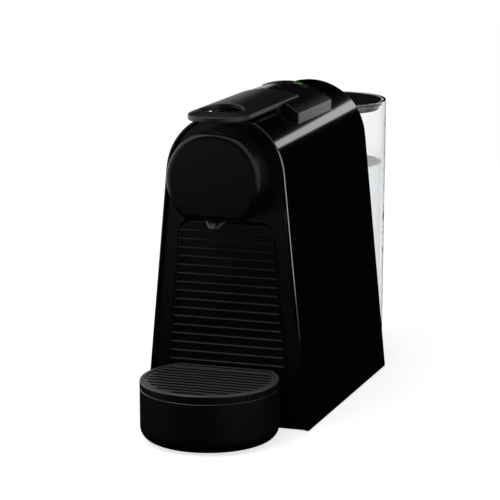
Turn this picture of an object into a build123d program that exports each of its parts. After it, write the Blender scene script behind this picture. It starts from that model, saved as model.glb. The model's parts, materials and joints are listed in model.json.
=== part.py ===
from build123d import *
from math import acos, atan2, cos, hypot, sin, sqrt
import os

# Pod coffee machine, millimetres. +Z is up, the front faces -Y, the table is z = 0.
# Depths are counted back from the shell's front rim, so the same numbers read from front to back.

# Body shell: straight leaning sides that run tangent into a round arch
BASE_WIDTH = 110.0
BODY_TOP = 200.0
ARCH_R = 39.5
BODY_DEPTH = 175.0
SHELL_WALL = 2.5
SHELL_LIFT = 0.5
BASE_LIFT = 1.5
LIP_ROUND = 1.1

# Clearances
FIT = 0.2
RUN = 0.5
PIN_RUN = 0.05

# Front panel and the portal that the capsule bin slides through
PANEL_RECESS = 2.2
PANEL_T = 2.5
PORTAL_MARGIN = 11.2
PORTAL_BELOW_HEAD = 3.5
PORTAL_ROUND = 9.0

# Brew head: ring, disc cap and spout
HEAD_R = 31.0
HEAD_WALL = 3.0
HEAD_OUT = 18.6
CAP_OUT = 23.5
CAP_ROUND = 4.0
HEAD_FLAT_DROP = 25.0
SPOUT_DEPTH = -10.5
SPOUT_LEAN = 7.5
SPOUT_DROP = 4.3
SPOUT_R = 4.2
SPOUT_SKIRT_R = 9.2
SPOUT_BORE_R = 2.0
SPOUT_FLANGE_T = 1.8
PIPE_WALL = 1.2
PIPE_BEND = 6.4

# Drip tray and cup grid
TRAY_R = 43.5
TRAY_OUT = 30.0
TRAY_TOP = 38.4
TRAY_LIFT = 0.8
TRAY_ROUND = 8.0
TRAY_WALL = 2.2
TRAY_BACK = -0.8
GRID_RIM_H = 5.0
GRID_RIM_W = 3.1
GRID_PITCH = 6.0
GRID_SLOT = 3.0
GRID_T = 2.6
GRID_SINK = 0.6
GRID_ROUND = 1.2
GRID_SKIRT_T = 1.6
SEAM_CHAMFER = 0.5

# Capsule bin and its ribbed front
BIN_HALF = 33.0
BIN_BEFORE_HEATER = 9.0
BIN_BELOW_PORTAL = 8.0
BIN_WALL = 1.8
FRONT_BELOW_PORTAL = 2.0
FRONT_T = 2.0
FRONT_SET_BACK = 1.0
RIB_MARGIN = 5.8
RIB_PITCH = 5.6
RIB_COUNT = 16
RIB_T = 1.0
RIB_OUT = 2.4
RIB_BORDER = 1.6
TONGUE_T = 3.0

# Base plate and feet
BASE_T = 2.5
RAIL_H = 3.0
RAIL_T = 2.5
FOOT_R = 6.0
FOOT_FRONT_DEPTH = 24.0
FOOT_MARGIN = 5.9
FOOT_REAR_X = 24.0

# Water tank
TANK_SET_BACK = 36.9
TANK_R_TOP = 41.2
TANK_R_FOOT = 39.7
TANK_BELOW_TOP = 18.6
TANK_WALL = 2.2
TANK_FLOOR = 3.0
TANK_FLAT = 1.4
RIM_ROUND = 0.6
LEDGE_W = 1.8
PLATFORM_TOP = 14.0
PLATFORM_INSET = 1.0
LID_T = 3.0
LID_GAP = 0.6
LID_ROUND = 0.8
NOZZLE_R = 6.0
NOZZLE_WALL = 1.5
NOZZLE_DROP = 6.0
VALVE_LIFT = 2.8
STEM_R = 1.6
STEM_SET = 1.4
FLANGE_T = 1.0
VALVE_HEAD_R = 5.0
VALVE_HEAD_T = 2.0
SPRING_WIRE_R = 0.35
SPRING_TURNS = 2
SEAL_SET = 1.2

# Control block and buttons
BLOCK_FRONT = 56.7
BLOCK_BACK = 126.8
BLOCK_HALF = 29.8
BLOCK_RISE = 5.0
CROWN_R = 44.4
BLOCK_WALL = 2.2
BLOCK_ROUND = 0.8
BUTTON_X = 8.5
BUTTON_FROM_BACK = 8.8
BUTTON_W = 15.0
BUTTON_L = 9.0
BUTTON_PROUD = 0.5
BUTTON_TRAVEL = 1.0
BUTTON_GAP = 0.35
BUTTON_LEDGE = 0.6
BUTTON_FLANGE_T = 1.2
BUTTON_STEM_H = 0.8
BUTTON_STEM_R = 2.2
SWITCH_SIDE = 6.3
SWITCH_H = 2.0
POST_R = 3.0

# Lever
LEVER_HALF = 20.0
LEVER_T = 3.4
LEVER_ROUND = 0.8
LEVER_CROWN_R = 55.2
LEVER_NOSE = -27.4
NOSE_START = -3.5
NOSE_R = 72.0
NOSE_ARC = 26.0
HOLE_DEPTH = -3.6
HOLE_R = 13.6
HINGE_DEPTH = 60.0
HINGE_DROP = 18.0
HINGE_REACH = 32.6
PIVOT_R = 2.5
CHEEK_IN = 15.5
CHEEK_OUT = 19.0
CHEEK_R = 6.5
DRIVE_FORWARD = 9.0
DRIVE_RISE = 10.7
DRIVE_R = 2.0

# Brew unit
FRAME_IN = 21.5
FRAME_T = 3.0
FRAME_FRONT_T = 3.0
FRAME_BACK = 98.0
FRAME_BELOW_AXIS = 18.5
FRAME_OVER_HINGE = 5.5
CAGE_R = 19.5
CAGE_LENGTH = 31.0
CAGE_MOUTH_R = 15.8
CAGE_HEEL_R = 12.5
CAGE_HEEL_T = 4.5
CAGE_TRAVEL = 19.4
LUG_H = 6.0
LUG_L = 16.0
FORK_IN = 9.0
FORK_T = 3.0
FORK_SLOT = 6.2
FORK_ARM = 2.5
FORK_OVER_HINGE = 16.4
PLATE_T = 4.2
PLATE_R = 19.0
PYRAMID = 2.6
PYRAMID_PITCH = 4.2
PYRAMID_ROWS = 5
PYRAMID_TAPER = 20.0
NEEDLE_H = 5.0
NEEDLE_R = 1.6
NEEDLE_COUNT = 3
NEEDLE_TAPER = 15.0
SEAL_T = 1.4
SEAL_W = 2.6
CHUTE_WALL = 1.2
CHUTE_FRONT = 9.0
CHUTE_BACK = 42.5
SLOT_HALF = 20.0
BAY_HALF = 25.0

# Inner water circuit and electrics
HEATER_W = 52.0
HEATER_D = 28.0
HEATER_H = 60.0
HEATER_ROUND = 6.0
GROOVE_W = 4.3
GROOVE_T = 3.0
GROOVE_PITCH = 10.0
GROOVE_COUNT = 5
STUB_R = 4.5
STUB_H = 6.0
HEATER_BEFORE_PUMP = 41.0
HEATER_Z = 40.0
THERMOSTAT_Z = 76.0
THERMOSTAT_R = 8.0
THERMOSTAT_T = 4.0
TAB_W = 3.0
TAB_H = 5.0
TAB_L = 3.0
PUMP_BEFORE_BOARD = 26.3
PUMP_Z = 34.0
PUMP_TO_METER = 11.0
COIL_L = 32.0
COIL_SIDE = 42.0
COIL_ROUND = 5.0
SADDLE_W = 33.6
PUMP_NECK_R = 11.0
MOUNT_T = 4.0
MOUNT_W = 7.0
METER_MARGIN = 3.9
METER_R = 10.0
METER_POST_R = 7.0
METER_ROUND = 2.0
METER_Z = 5.0
METER_H = 14.0
HOSE_R = 3.0
HOSE_BORE_R = 1.9
BEND_R = 7.8
TIGHT_BEND_R = 4.7
COVER_T = 2.5
COVER_RECESS = 0.6
VENT_L = 39.5
VENT_W = 2.4
VENT_PITCH = 6.0
VENT_COUNT = 6
BOARD_T = 1.6
BOARD_W = 72.0
BOARD_H = 76.0
BOARD_ROUND = 2.0
BOARD_Z = 22.0
STANDOFF = 6.0
RELAY_W = 18.0
RELAY_H = 15.0
RELAY_T = 11.0
TERMINAL_W = 22.0
TERMINAL_H = 8.0
CAN_R = 4.0
CAN_L = 9.0
GLAND_MARGIN = 4.4
GLAND_Z = 22.0
GLAND_R = 6.5
GLAND_NECK_R = 5.5
GLAND_ROUND = 1.2
STANDOFF_R = 3.0

# Values that follow from the sizes above
TANK_FRONT = BODY_DEPTH + TANK_FLAT
TANK_AXIS = TANK_FRONT + TANK_SET_BACK
DEPTH = TRAY_OUT + TRAY_R + TANK_AXIS + TANK_R_TOP
FACE_Y = TRAY_OUT + TRAY_R - DEPTH / 2
ARCH_Z = BODY_TOP - ARCH_R
LEAN = acos(ARCH_R / hypot(BASE_WIDTH / 2, ARCH_Z)) - atan2(ARCH_Z, BASE_WIDTH / 2)
BREW_Z = ARCH_Z
BLOCK_CREST = BODY_TOP + BLOCK_RISE
HINGE_Z = BODY_TOP - HINGE_DROP
FRAME_TOP = HINGE_Z + FRAME_OVER_HINGE
FRAME_LOW = BREW_Z - FRAME_BELOW_AXIS
FORK_TOP = HINGE_Z + FORK_OVER_HINGE
HEAD_FLAT_Z = BREW_Z - HEAD_FLAT_DROP
SPOUT_TIP_Z = HEAD_FLAT_Z - SPOUT_DROP
PORTAL_TOP = HEAD_FLAT_Z - PORTAL_BELOW_HEAD
FRONT_TOP = PORTAL_TOP - FRONT_BELOW_PORTAL
RIB_TOP_Z = FRONT_TOP - RIB_MARGIN
BIN_TOP = PORTAL_TOP - BIN_BELOW_PORTAL
TANK_TOP = BODY_TOP - TANK_BELOW_TOP
CROWN_Z = BLOCK_CREST - CROWN_R
INNER = SHELL_WALL + FIT
PANEL_BACK = PANEL_RECESS + PANEL_T
BAY_FRONT = BLOCK_FRONT + BLOCK_WALL
BAY_BACK = BLOCK_BACK - BLOCK_WALL
TRAY_RIM_Z = TRAY_TOP - GRID_RIM_H
TONGUE_Z = BASE_LIFT + BASE_T + RUN
BIN_Z = TONGUE_Z + TONGUE_T
FRONT_FACE = PANEL_RECESS + FRONT_SET_BACK
FRONT_BACK = FRONT_FACE + FRONT_T
FRAME_OUT = FRAME_IN + FRAME_T
PLATE_FACE = PANEL_BACK + PLATE_T
CAGE_FRONT = PLATE_FACE + SEAL_T + FIT
CAGE_BACK = CAGE_FRONT + CAGE_LENGTH
DRIVE_DEPTH = HINGE_DEPTH - DRIVE_FORWARD
DRIVE_Z = HINGE_Z + DRIVE_RISE
FORK_HALF = FORK_SLOT / 2 + FORK_ARM
COVER_BACK = BODY_DEPTH - COVER_RECESS
COVER_FRONT = COVER_BACK - COVER_T
BOARD_DEPTH = COVER_FRONT - STANDOFF - BOARD_T
PUMP_DEPTH = BOARD_DEPTH - PUMP_BEFORE_BOARD
HEATER_DEPTH = PUMP_DEPTH - HEATER_BEFORE_PUMP
BIN_BACK = HEATER_DEPTH - HEATER_D / 2 - BIN_BEFORE_HEATER
BUTTON_DEPTH = BLOCK_BACK - BUTTON_FROM_BACK
LEVER_CORNER = LEVER_NOSE + LEVER_HALF
LEVER_AXIS_Z = BLOCK_CREST - LEVER_CROWN_R
BASE_TOP = BASE_LIFT + BASE_T
HOSE_Z = BASE_TOP + HOSE_R + RUN
TANK_Z = PLATFORM_TOP + FIT
PLATFORM_R = TANK_R_FOOT - PLATFORM_INSET
BUTTON_OUT = BUTTON_X + BUTTON_W / 2
BUTTON_FLANGE_Z = CROWN_Z + sqrt((CROWN_R - BLOCK_WALL) ** 2 - (BUTTON_OUT + BUTTON_LEDGE) ** 2) - RUN
STEM_Z = BUTTON_FLANGE_Z - BUTTON_FLANGE_T - BUTTON_STEM_H
SWITCH_Z = STEM_Z - BUTTON_TRAVEL - FIT
BUTTON_BOARD_Z = SWITCH_Z - SWITCH_H
POST_X = BUTTON_OUT + 1.5 * POST_R
POST_TOP_Z = CROWN_Z + sqrt((CROWN_R - BLOCK_WALL / 2) ** 2 - (POST_X + POST_R) ** 2)


def upright(depth):
    """Sketch plane facing the front at a depth: sketch x is x, sketch y is z."""
    return Plane(origin=(0, FACE_Y + depth, 0), x_dir=(1, 0, 0), z_dir=(0, -1, 0))


def sideways(x):
    """Sketch plane facing +X: sketch x is depth, sketch y is z."""
    return Plane(origin=(x, FACE_Y, 0), x_dir=(0, 1, 0), z_dir=(1, 0, 0))


def level(z):
    """Sketch plane facing up: sketch x is x, sketch y is depth."""
    return Plane(origin=(0, FACE_Y, z), x_dir=(1, 0, 0), z_dir=(0, 0, 1))


def half_width(z, inset=0.0):
    """Half width of the body outline at height z, moved inwards by inset."""
    radius = ARCH_R - inset
    if z > ARCH_Z + radius * sin(LEAN):
        return sqrt(radius**2 - (z - ARCH_Z) ** 2)
    return (radius - (z - ARCH_Z) * sin(LEAN)) / cos(LEAN)


def arch_face(inset, foot_z):
    """Body outline moved inwards by inset, closed by a straight foot at foot_z."""
    radius = ARCH_R - inset
    shoulder_x = radius * cos(LEAN)
    shoulder_z = ARCH_Z + radius * sin(LEAN)
    foot_x = half_width(foot_z, inset)
    with BuildSketch() as face:
        with BuildLine():
            Line((foot_x, foot_z), (shoulder_x, shoulder_z))
            ThreePointArc((shoulder_x, shoulder_z), (0, ARCH_Z + radius), (-shoulder_x, shoulder_z))
            Line((-shoulder_x, shoulder_z), (-foot_x, foot_z))
            Line((-foot_x, foot_z), (foot_x, foot_z))
        make_face()
    return face.sketch


def portal_face(gap, foot_z, top_z):
    """Outline of the bin's portal, moved inwards by gap, with two rounded upper corners."""
    low = half_width(foot_z, PORTAL_MARGIN + gap)
    high = half_width(top_z, PORTAL_MARGIN + gap)
    with BuildSketch() as face:
        with BuildLine():
            Polyline((-low, foot_z), (-high, top_z), (high, top_z), (low, foot_z), close=True)
        make_face()
        fillet(face.vertices().group_by(Axis.Y)[-1], PORTAL_ROUND - gap)
    return face.sketch


def bin_face(gap, low_z, high_z):
    """Bin cross-section, moved inwards by gap."""
    low = half_width(low_z, PORTAL_MARGIN + 3 * RUN + gap)
    high = half_width(high_z, PORTAL_MARGIN + 3 * RUN + gap)
    with BuildSketch() as face:
        with BuildLine():
            Polyline((-low, low_z), (-high, high_z), (high, high_z), (low, low_z), close=True)
        make_face()
    return face.sketch


def head_face(radius, flat_z):
    """Round brew head outline with its flat underside."""
    with BuildSketch() as face:
        with Locations((0, ARCH_Z)):
            Circle(radius)
        with Locations((0, flat_z)):
            Rectangle(4 * radius, 4 * radius, align=(Align.CENTER, Align.MAX), mode=Mode.SUBTRACT)
    return face.sketch


def crown_face(radius, half, foot_z, axis_z=CROWN_Z):
    """Crowned cross-section: arc of the given radius about an axis, upright sides, flat foot."""
    with BuildSketch() as face:
        with Locations((0, axis_z)):
            Circle(radius)
        with Locations((0, foot_z)):
            Rectangle(2 * half, 4 * radius, align=(Align.CENTER, Align.MIN), mode=Mode.INTERSECT)
    return face.sketch


def tank_face(radius, front):
    """Round tank outline, cut flat at its front."""
    with BuildSketch() as face:
        with Locations((0, TANK_AXIS)):
            Circle(radius)
        with Locations((0, front)):
            Rectangle(4 * radius, 4 * radius, align=(Align.CENTER, Align.MAX), mode=Mode.SUBTRACT)
    return face.sketch


def tray_face(radius, back):
    """Round tray outline, cut flat at its back."""
    with BuildSketch() as face:
        with Locations((0, -TRAY_OUT)):
            Circle(radius)
        with Locations((0, back)):
            Rectangle(4 * radius, 4 * radius, align=(Align.CENTER, Align.MIN), mode=Mode.SUBTRACT)
    return face.sketch


def oval_face(width, length):
    """Button outline: an ellipse, wider than long."""
    with BuildSketch() as face:
        Ellipse(width / 2, length / 2)
    return face.sketch


def hose_ring():
    """Cross-section of a hose with its bore."""
    with BuildSketch() as face:
        Circle(HOSE_R)
        Circle(HOSE_BORE_R, mode=Mode.SUBTRACT)
    return face.sketch


def start_plane(path):
    """Sketch plane across the start of a path."""
    return Plane(origin=path @ 0, z_dir=path % 0)


# Values that follow from the width of the base
BASE_HALF = half_width(BASE_TOP, INNER)
FOOT_FRONT_X = BASE_HALF - FOOT_R - FOOT_MARGIN
GLAND_X = GLAND_R + GLAND_MARGIN - BASE_HALF
SADDLE_X = COIL_L / 2 + MOUNT_W / 2 + RUN
PUMP_HALF = SADDLE_X + MOUNT_W
METER_X = BASE_HALF - METER_R - METER_MARGIN
PUMP_X = METER_X - PUMP_TO_METER - PUMP_HALF

os.makedirs("parts", exist_ok=True)


# Outer shell: arched sleeve, open in front, behind and below, with the capsule slot in its crest
with BuildPart() as outer_shell:
    with BuildSketch(upright(0)):
        add(arch_face(0, SHELL_LIFT))
    extrude(amount=-BODY_DEPTH)
    with BuildSketch(upright(0)):
        add(arch_face(SHELL_WALL, SHELL_LIFT - SHELL_WALL))
    extrude(amount=-BODY_DEPTH, mode=Mode.SUBTRACT)
    rims = outer_shell.faces().filter_by(Axis.Y)
    fillet(rims.sort_by(Axis.Y)[0].edges() + rims.sort_by(Axis.Y)[-1].edges(), LIP_ROUND)
    with BuildSketch(level(ARCH_Z)):
        with Locations((0, CHUTE_FRONT)):
            Rectangle(2 * SLOT_HALF, BAY_FRONT + BLOCK_WALL - CHUTE_FRONT, align=(Align.CENTER, Align.MIN))
        with Locations((0, BAY_FRONT)):
            Rectangle(2 * BAY_HALF, BAY_BACK - BAY_FRONT, align=(Align.CENTER, Align.MIN))
    extrude(amount=2 * ARCH_R, mode=Mode.SUBTRACT)
outer_shell.part.label = "outer_shell"
export_step(outer_shell.part, "parts/outer_shell.step")

# Front panel: recessed arch plate with the bin portal and a round opening for the extraction plate
with BuildPart() as front_panel:
    with BuildSketch(upright(PANEL_RECESS)):
        add(arch_face(INNER, SHELL_LIFT))
        add(portal_face(0, BASE_TOP, PORTAL_TOP), mode=Mode.SUBTRACT)
        with Locations((0, BREW_Z)):
            Circle(PLATE_R - 2 * SEAL_W + FIT, mode=Mode.SUBTRACT)
    extrude(amount=-PANEL_T)
front_panel.part.label = "front_panel"
export_step(front_panel.part, "parts/front_panel.step")

# Brew head ring: round drum on the front panel with a flat floor that holds the spout
with BuildPart() as brew_head_ring:
    with BuildSketch(upright(-HEAD_OUT)):
        add(head_face(HEAD_R, HEAD_FLAT_Z))
        add(head_face(HEAD_R - HEAD_WALL, HEAD_FLAT_Z + HEAD_WALL), mode=Mode.SUBTRACT)
    extrude(amount=-(PANEL_RECESS + HEAD_OUT))
    with BuildSketch(level(HEAD_FLAT_Z - HEAD_WALL)):
        with Locations((0, SPOUT_DEPTH)):
            Circle(SPOUT_R + HEAD_WALL / 2 + FIT)
    extrude(amount=3 * HEAD_WALL, mode=Mode.SUBTRACT)
brew_head_ring.part.label = "brew_head_ring"
export_step(brew_head_ring.part, "parts/brew_head_ring.step")

# Disc cap: soft-edged round face with a spigot that sits inside the ring
with BuildPart() as disc_cap:
    with BuildSketch(upright(-CAP_OUT)):
        add(head_face(HEAD_R, HEAD_FLAT_Z))
    extrude(amount=-(CAP_OUT - HEAD_OUT - FIT))
    fillet(disc_cap.faces().sort_by(Axis.Y)[0].edges(), CAP_ROUND)
    with BuildSketch(upright(-HEAD_OUT - FIT)):
        add(head_face(HEAD_R - HEAD_WALL - FIT, HEAD_FLAT_Z + 4 * HEAD_WALL))
        add(head_face(HEAD_R - 2 * HEAD_WALL, HEAD_FLAT_Z + 5 * HEAD_WALL), mode=Mode.SUBTRACT)
    extrude(amount=-HEAD_WALL)
disc_cap.part.label = "disc_cap"
export_step(disc_cap.part, "parts/disc_cap.step")

# Coffee spout: nozzle that leans forward under the cap, held by a neck through the floor of the ring
SPOUT_NECK_R = SPOUT_R + HEAD_WALL / 2
SPOUT_TOP_Z = HEAD_FLAT_Z + HEAD_WALL + SPOUT_FLANGE_T
with BuildPart() as coffee_spout:
    with BuildSketch(level(HEAD_FLAT_Z)):
        with Locations((0, SPOUT_DEPTH)):
            Circle(SPOUT_SKIRT_R)
    with BuildSketch(level(SPOUT_TIP_Z)):
        with Locations((0, SPOUT_DEPTH - SPOUT_LEAN)):
            Circle(SPOUT_R)
    loft()
    with BuildSketch(level(HEAD_FLAT_Z)):
        with Locations((0, SPOUT_DEPTH)):
            Circle(SPOUT_NECK_R)
    extrude(amount=HEAD_WALL)
    with BuildSketch(level(HEAD_FLAT_Z + HEAD_WALL)):
        with Locations((0, SPOUT_DEPTH)):
            Circle(SPOUT_NECK_R + SPOUT_BORE_R / 2)
    extrude(amount=SPOUT_TOP_Z - HEAD_FLAT_Z - HEAD_WALL)
    with BuildSketch(level(HEAD_FLAT_Z)):
        with Locations((0, SPOUT_DEPTH)):
            Circle(SPOUT_BORE_R)
    extrude(amount=SPOUT_TOP_Z - HEAD_FLAT_Z, mode=Mode.SUBTRACT)
    with BuildSketch(level(HEAD_FLAT_Z)):
        with Locations((0, SPOUT_DEPTH)):
            Circle(SPOUT_BORE_R)
    with BuildSketch(level(SPOUT_TIP_Z)):
        with Locations((0, SPOUT_DEPTH - SPOUT_LEAN)):
            Circle(SPOUT_BORE_R)
    loft(mode=Mode.SUBTRACT)
coffee_spout.part.label = "coffee_spout"
export_step(coffee_spout.part, "parts/coffee_spout.step")

# Outlet pipe: elbow from the extraction plate down to the spout
ELBOW_Z = BREW_Z - PLATE_R / 2
with BuildPart() as outlet_pipe:
    with BuildLine(sideways(0)):
        FilletPolyline(
            (PANEL_RECESS, ELBOW_Z),
            (SPOUT_DEPTH, ELBOW_Z),
            (SPOUT_DEPTH, SPOUT_TOP_Z),
            radius=PIPE_BEND,
        )
    with BuildSketch(upright(PANEL_RECESS)):
        with Locations((0, ELBOW_Z)):
            Circle(SPOUT_R)
            Circle(SPOUT_R - PIPE_WALL, mode=Mode.SUBTRACT)
    sweep()
outlet_pipe.part.label = "outlet_pipe"
export_step(outlet_pipe.part, "parts/outlet_pipe.step")

# Extraction plate: round plate with small pyramids that the capsule lid bursts on
with BuildPart() as extraction_plate:
    with BuildSketch(upright(PANEL_BACK)):
        with Locations((0, BREW_Z)):
            Circle(PLATE_R)
    extrude(amount=-PLATE_T)
    with BuildSketch(upright(PANEL_RECESS)):
        with Locations((0, BREW_Z)):
            Circle(PLATE_R - 2 * SEAL_W)
    extrude(amount=-PANEL_T)
    with BuildSketch(Plane(origin=(0, FACE_Y + PLATE_FACE, BREW_Z), x_dir=(-1, 0, 0), z_dir=(0, 1, 0))):
        with GridLocations(PYRAMID_PITCH, PYRAMID_PITCH, PYRAMID_ROWS, PYRAMID_ROWS):
            Rectangle(PYRAMID, PYRAMID)
    extrude(amount=SEAL_T, taper=PYRAMID_TAPER)
    with BuildSketch(upright(PANEL_RECESS)):
        with Locations((0, ELBOW_Z)):
            Circle(SPOUT_R - PIPE_WALL)
    extrude(amount=-(PANEL_T + PLATE_T / 2), mode=Mode.SUBTRACT)
extraction_plate.part.label = "extraction_plate"
export_step(extraction_plate.part, "parts/extraction_plate.step")

# Plate seal: flat rubber ring that the mouth of the cage closes on
with BuildPart() as plate_seal:
    with BuildSketch(upright(PLATE_FACE)):
        with Locations((0, BREW_Z)):
            Circle(PLATE_R)
            Circle(PLATE_R - SEAL_W, mode=Mode.SUBTRACT)
    extrude(amount=-SEAL_T)
plate_seal.part.label = "plate_seal"
export_step(plate_seal.part, "parts/plate_seal.step")

# Brew frame: two side plates with slots for the cage, a front wall round the plate and a rear wall
with BuildPart() as brew_frame:
    with BuildSketch(sideways(FRAME_IN)) as side_plate:
        with BuildLine():
            Polyline(
                (PANEL_BACK, FRAME_LOW),
                (FRAME_BACK, FRAME_LOW),
                (FRAME_BACK, BREW_Z + LUG_H),
                (HINGE_DEPTH + 3 * CHEEK_R, BREW_Z + LUG_H),
                (HINGE_DEPTH + CHEEK_R, FRAME_TOP),
                (HINGE_DEPTH - CHEEK_R, FRAME_TOP),
                (HINGE_DEPTH - 3 * CHEEK_R, BREW_Z + 2 * LUG_H),
                (PANEL_BACK, BREW_Z + 2 * LUG_H),
                close=True,
            )
        make_face()
        with Locations((HINGE_DEPTH, HINGE_Z)):
            Circle(PIVOT_R + PIN_RUN / 2, mode=Mode.SUBTRACT)
        with Locations((CAGE_BACK - LUG_L - RUN, BREW_Z)):
            Rectangle(
                LUG_L + CAGE_TRAVEL + 2 * RUN,
                LUG_H + RUN,
                align=(Align.MIN, Align.CENTER),
                mode=Mode.SUBTRACT,
            )
    extrude(amount=FRAME_T)
    mirror(about=Plane.YZ)
    with BuildSketch(upright(PANEL_BACK)):
        with Locations((0, FRAME_LOW)):
            Rectangle(2 * FRAME_OUT, BREW_Z + 2 * LUG_H - FRAME_LOW, align=(Align.CENTER, Align.MIN))
        with Locations((0, BREW_Z)):
            Circle(PLATE_R + FIT, mode=Mode.SUBTRACT)
    extrude(amount=-FRAME_FRONT_T)
    with BuildSketch(upright(FRAME_BACK)):
        with Locations((0, FRAME_LOW)):
            Rectangle(2 * FRAME_OUT, BREW_Z + LUG_H - FRAME_LOW, align=(Align.CENTER, Align.MIN))
    extrude(amount=FRAME_T)
brew_frame.part.label = "brew_frame"
export_step(brew_frame.part, "parts/brew_frame.step")

# Lever pivot pins: one stub in each side plate of the frame
with BuildPart() as lever_pivot_pins:
    with BuildSketch(sideways(CHEEK_IN)):
        with Locations((HINGE_DEPTH, HINGE_Z)):
            Circle(PIVOT_R)
    extrude(amount=FRAME_OUT - CHEEK_IN)
    mirror(about=Plane.YZ)
lever_pivot_pins.part.label = "lever_pivot_pins"
export_step(lever_pivot_pins.part, "parts/lever_pivot_pins.step")

# Capsule cage: conical cup on the brew axis with side lugs and a fork for the lever's drive pin
with BuildPart() as capsule_cage:
    with BuildSketch(sideways(0)):
        with BuildLine():
            Polyline(
                (CAGE_FRONT, BREW_Z + CAGE_MOUTH_R),
                (CAGE_FRONT, BREW_Z + CAGE_R),
                (CAGE_BACK, BREW_Z + CAGE_R),
                (CAGE_BACK, BREW_Z),
                (CAGE_BACK - CAGE_HEEL_T, BREW_Z),
                (CAGE_BACK - CAGE_HEEL_T, BREW_Z + CAGE_HEEL_R),
                close=True,
            )
        make_face()
    revolve(axis=Axis((0, 0, BREW_Z), (0, 1, 0)))
    with BuildSketch(upright(CAGE_BACK)):
        with Locations((0, BREW_Z)):
            Rectangle(2 * FRAME_OUT - FIT, LUG_H)
            Circle(CAGE_R - CAGE_HEEL_T, mode=Mode.SUBTRACT)
    extrude(amount=LUG_L)
    with BuildSketch(upright(CAGE_FRONT)):
        with Locations((0, BREW_Z)):
            Circle(CAGE_HEEL_R)
    extrude(amount=-(CAGE_LENGTH - CAGE_HEEL_T), mode=Mode.SUBTRACT)
    with BuildSketch(sideways(FORK_IN)):
        with Locations((DRIVE_DEPTH, BREW_Z + CAGE_HEEL_R)):
            Rectangle(2 * FORK_HALF, FORK_TOP - BREW_Z - CAGE_HEEL_R, align=(Align.CENTER, Align.MIN))
        with Locations((DRIVE_DEPTH, DRIVE_Z - 3 * DRIVE_R)):
            Rectangle(FORK_SLOT, FORK_TOP, align=(Align.CENTER, Align.MIN), mode=Mode.SUBTRACT)
        with Locations((CAGE_BACK - CAGE_HEEL_T, BREW_Z + CAGE_HEEL_R)):
            Rectangle(
                DRIVE_DEPTH - CAGE_BACK + CAGE_HEEL_T, CAGE_R - CAGE_HEEL_R, align=(Align.MIN, Align.MIN)
            )
    extrude(amount=FORK_T)
    mirror(about=Plane.YZ)
    with BuildSketch(upright(CAGE_BACK)):
        with Locations((0, BREW_Z)):
            Circle(HOSE_R + HOSE_BORE_R)
            Circle(HOSE_BORE_R, mode=Mode.SUBTRACT)
    extrude(amount=-HOSE_R)
    with BuildSketch(upright(CAGE_BACK)):
        with Locations((0, BREW_Z)):
            Circle(HOSE_BORE_R)
    extrude(amount=CAGE_HEEL_T, mode=Mode.SUBTRACT)
capsule_cage.part.label = "capsule_cage"
export_step(capsule_cage.part, "parts/capsule_cage.step")

# Injection plate: pierced disc with three needles in the heel of the cage
with BuildPart() as injection_plate:
    with BuildSketch(upright(CAGE_BACK - CAGE_HEEL_T)):
        with Locations((0, BREW_Z)):
            Circle(CAGE_HEEL_R - RUN)
            Circle(HOSE_BORE_R, mode=Mode.SUBTRACT)
    extrude(amount=SEAL_T)
    with BuildSketch(upright(CAGE_BACK - CAGE_HEEL_T - SEAL_T)):
        with Locations((0, BREW_Z)):
            with PolarLocations(CAGE_HEEL_R / 2, NEEDLE_COUNT, start_angle=90):
                Circle(NEEDLE_R)
    extrude(amount=NEEDLE_H, taper=NEEDLE_TAPER)
injection_plate.part.label = "injection_plate"
export_step(injection_plate.part, "parts/injection_plate.step")

# Capsule chute: frame that lines the slot in the crest of the shell
with BuildPart() as capsule_chute:
    with BuildSketch(level(BREW_Z + CAGE_R + RUN)):
        with Locations((0, CHUTE_FRONT + FIT)):
            Rectangle(
                2 * (SLOT_HALF - FIT),
                CHUTE_BACK - CHUTE_FRONT - FIT,
                align=(Align.CENTER, Align.MIN),
            )
        with Locations((0, CHUTE_FRONT + FIT + CHUTE_WALL)):
            Rectangle(
                2 * (SLOT_HALF - FIT - CHUTE_WALL),
                CHUTE_BACK - CHUTE_FRONT - FIT - 2 * CHUTE_WALL,
                align=(Align.CENTER, Align.MIN),
                mode=Mode.SUBTRACT,
            )
    extrude(amount=ARCH_R)
    with BuildSketch(upright(0)):
        add(arch_face(FIT, SHELL_LIFT))
    extrude(amount=-BODY_DEPTH, mode=Mode.INTERSECT)
capsule_chute.part.label = "capsule_chute"
export_step(capsule_chute.part, "parts/capsule_chute.step")

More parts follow.
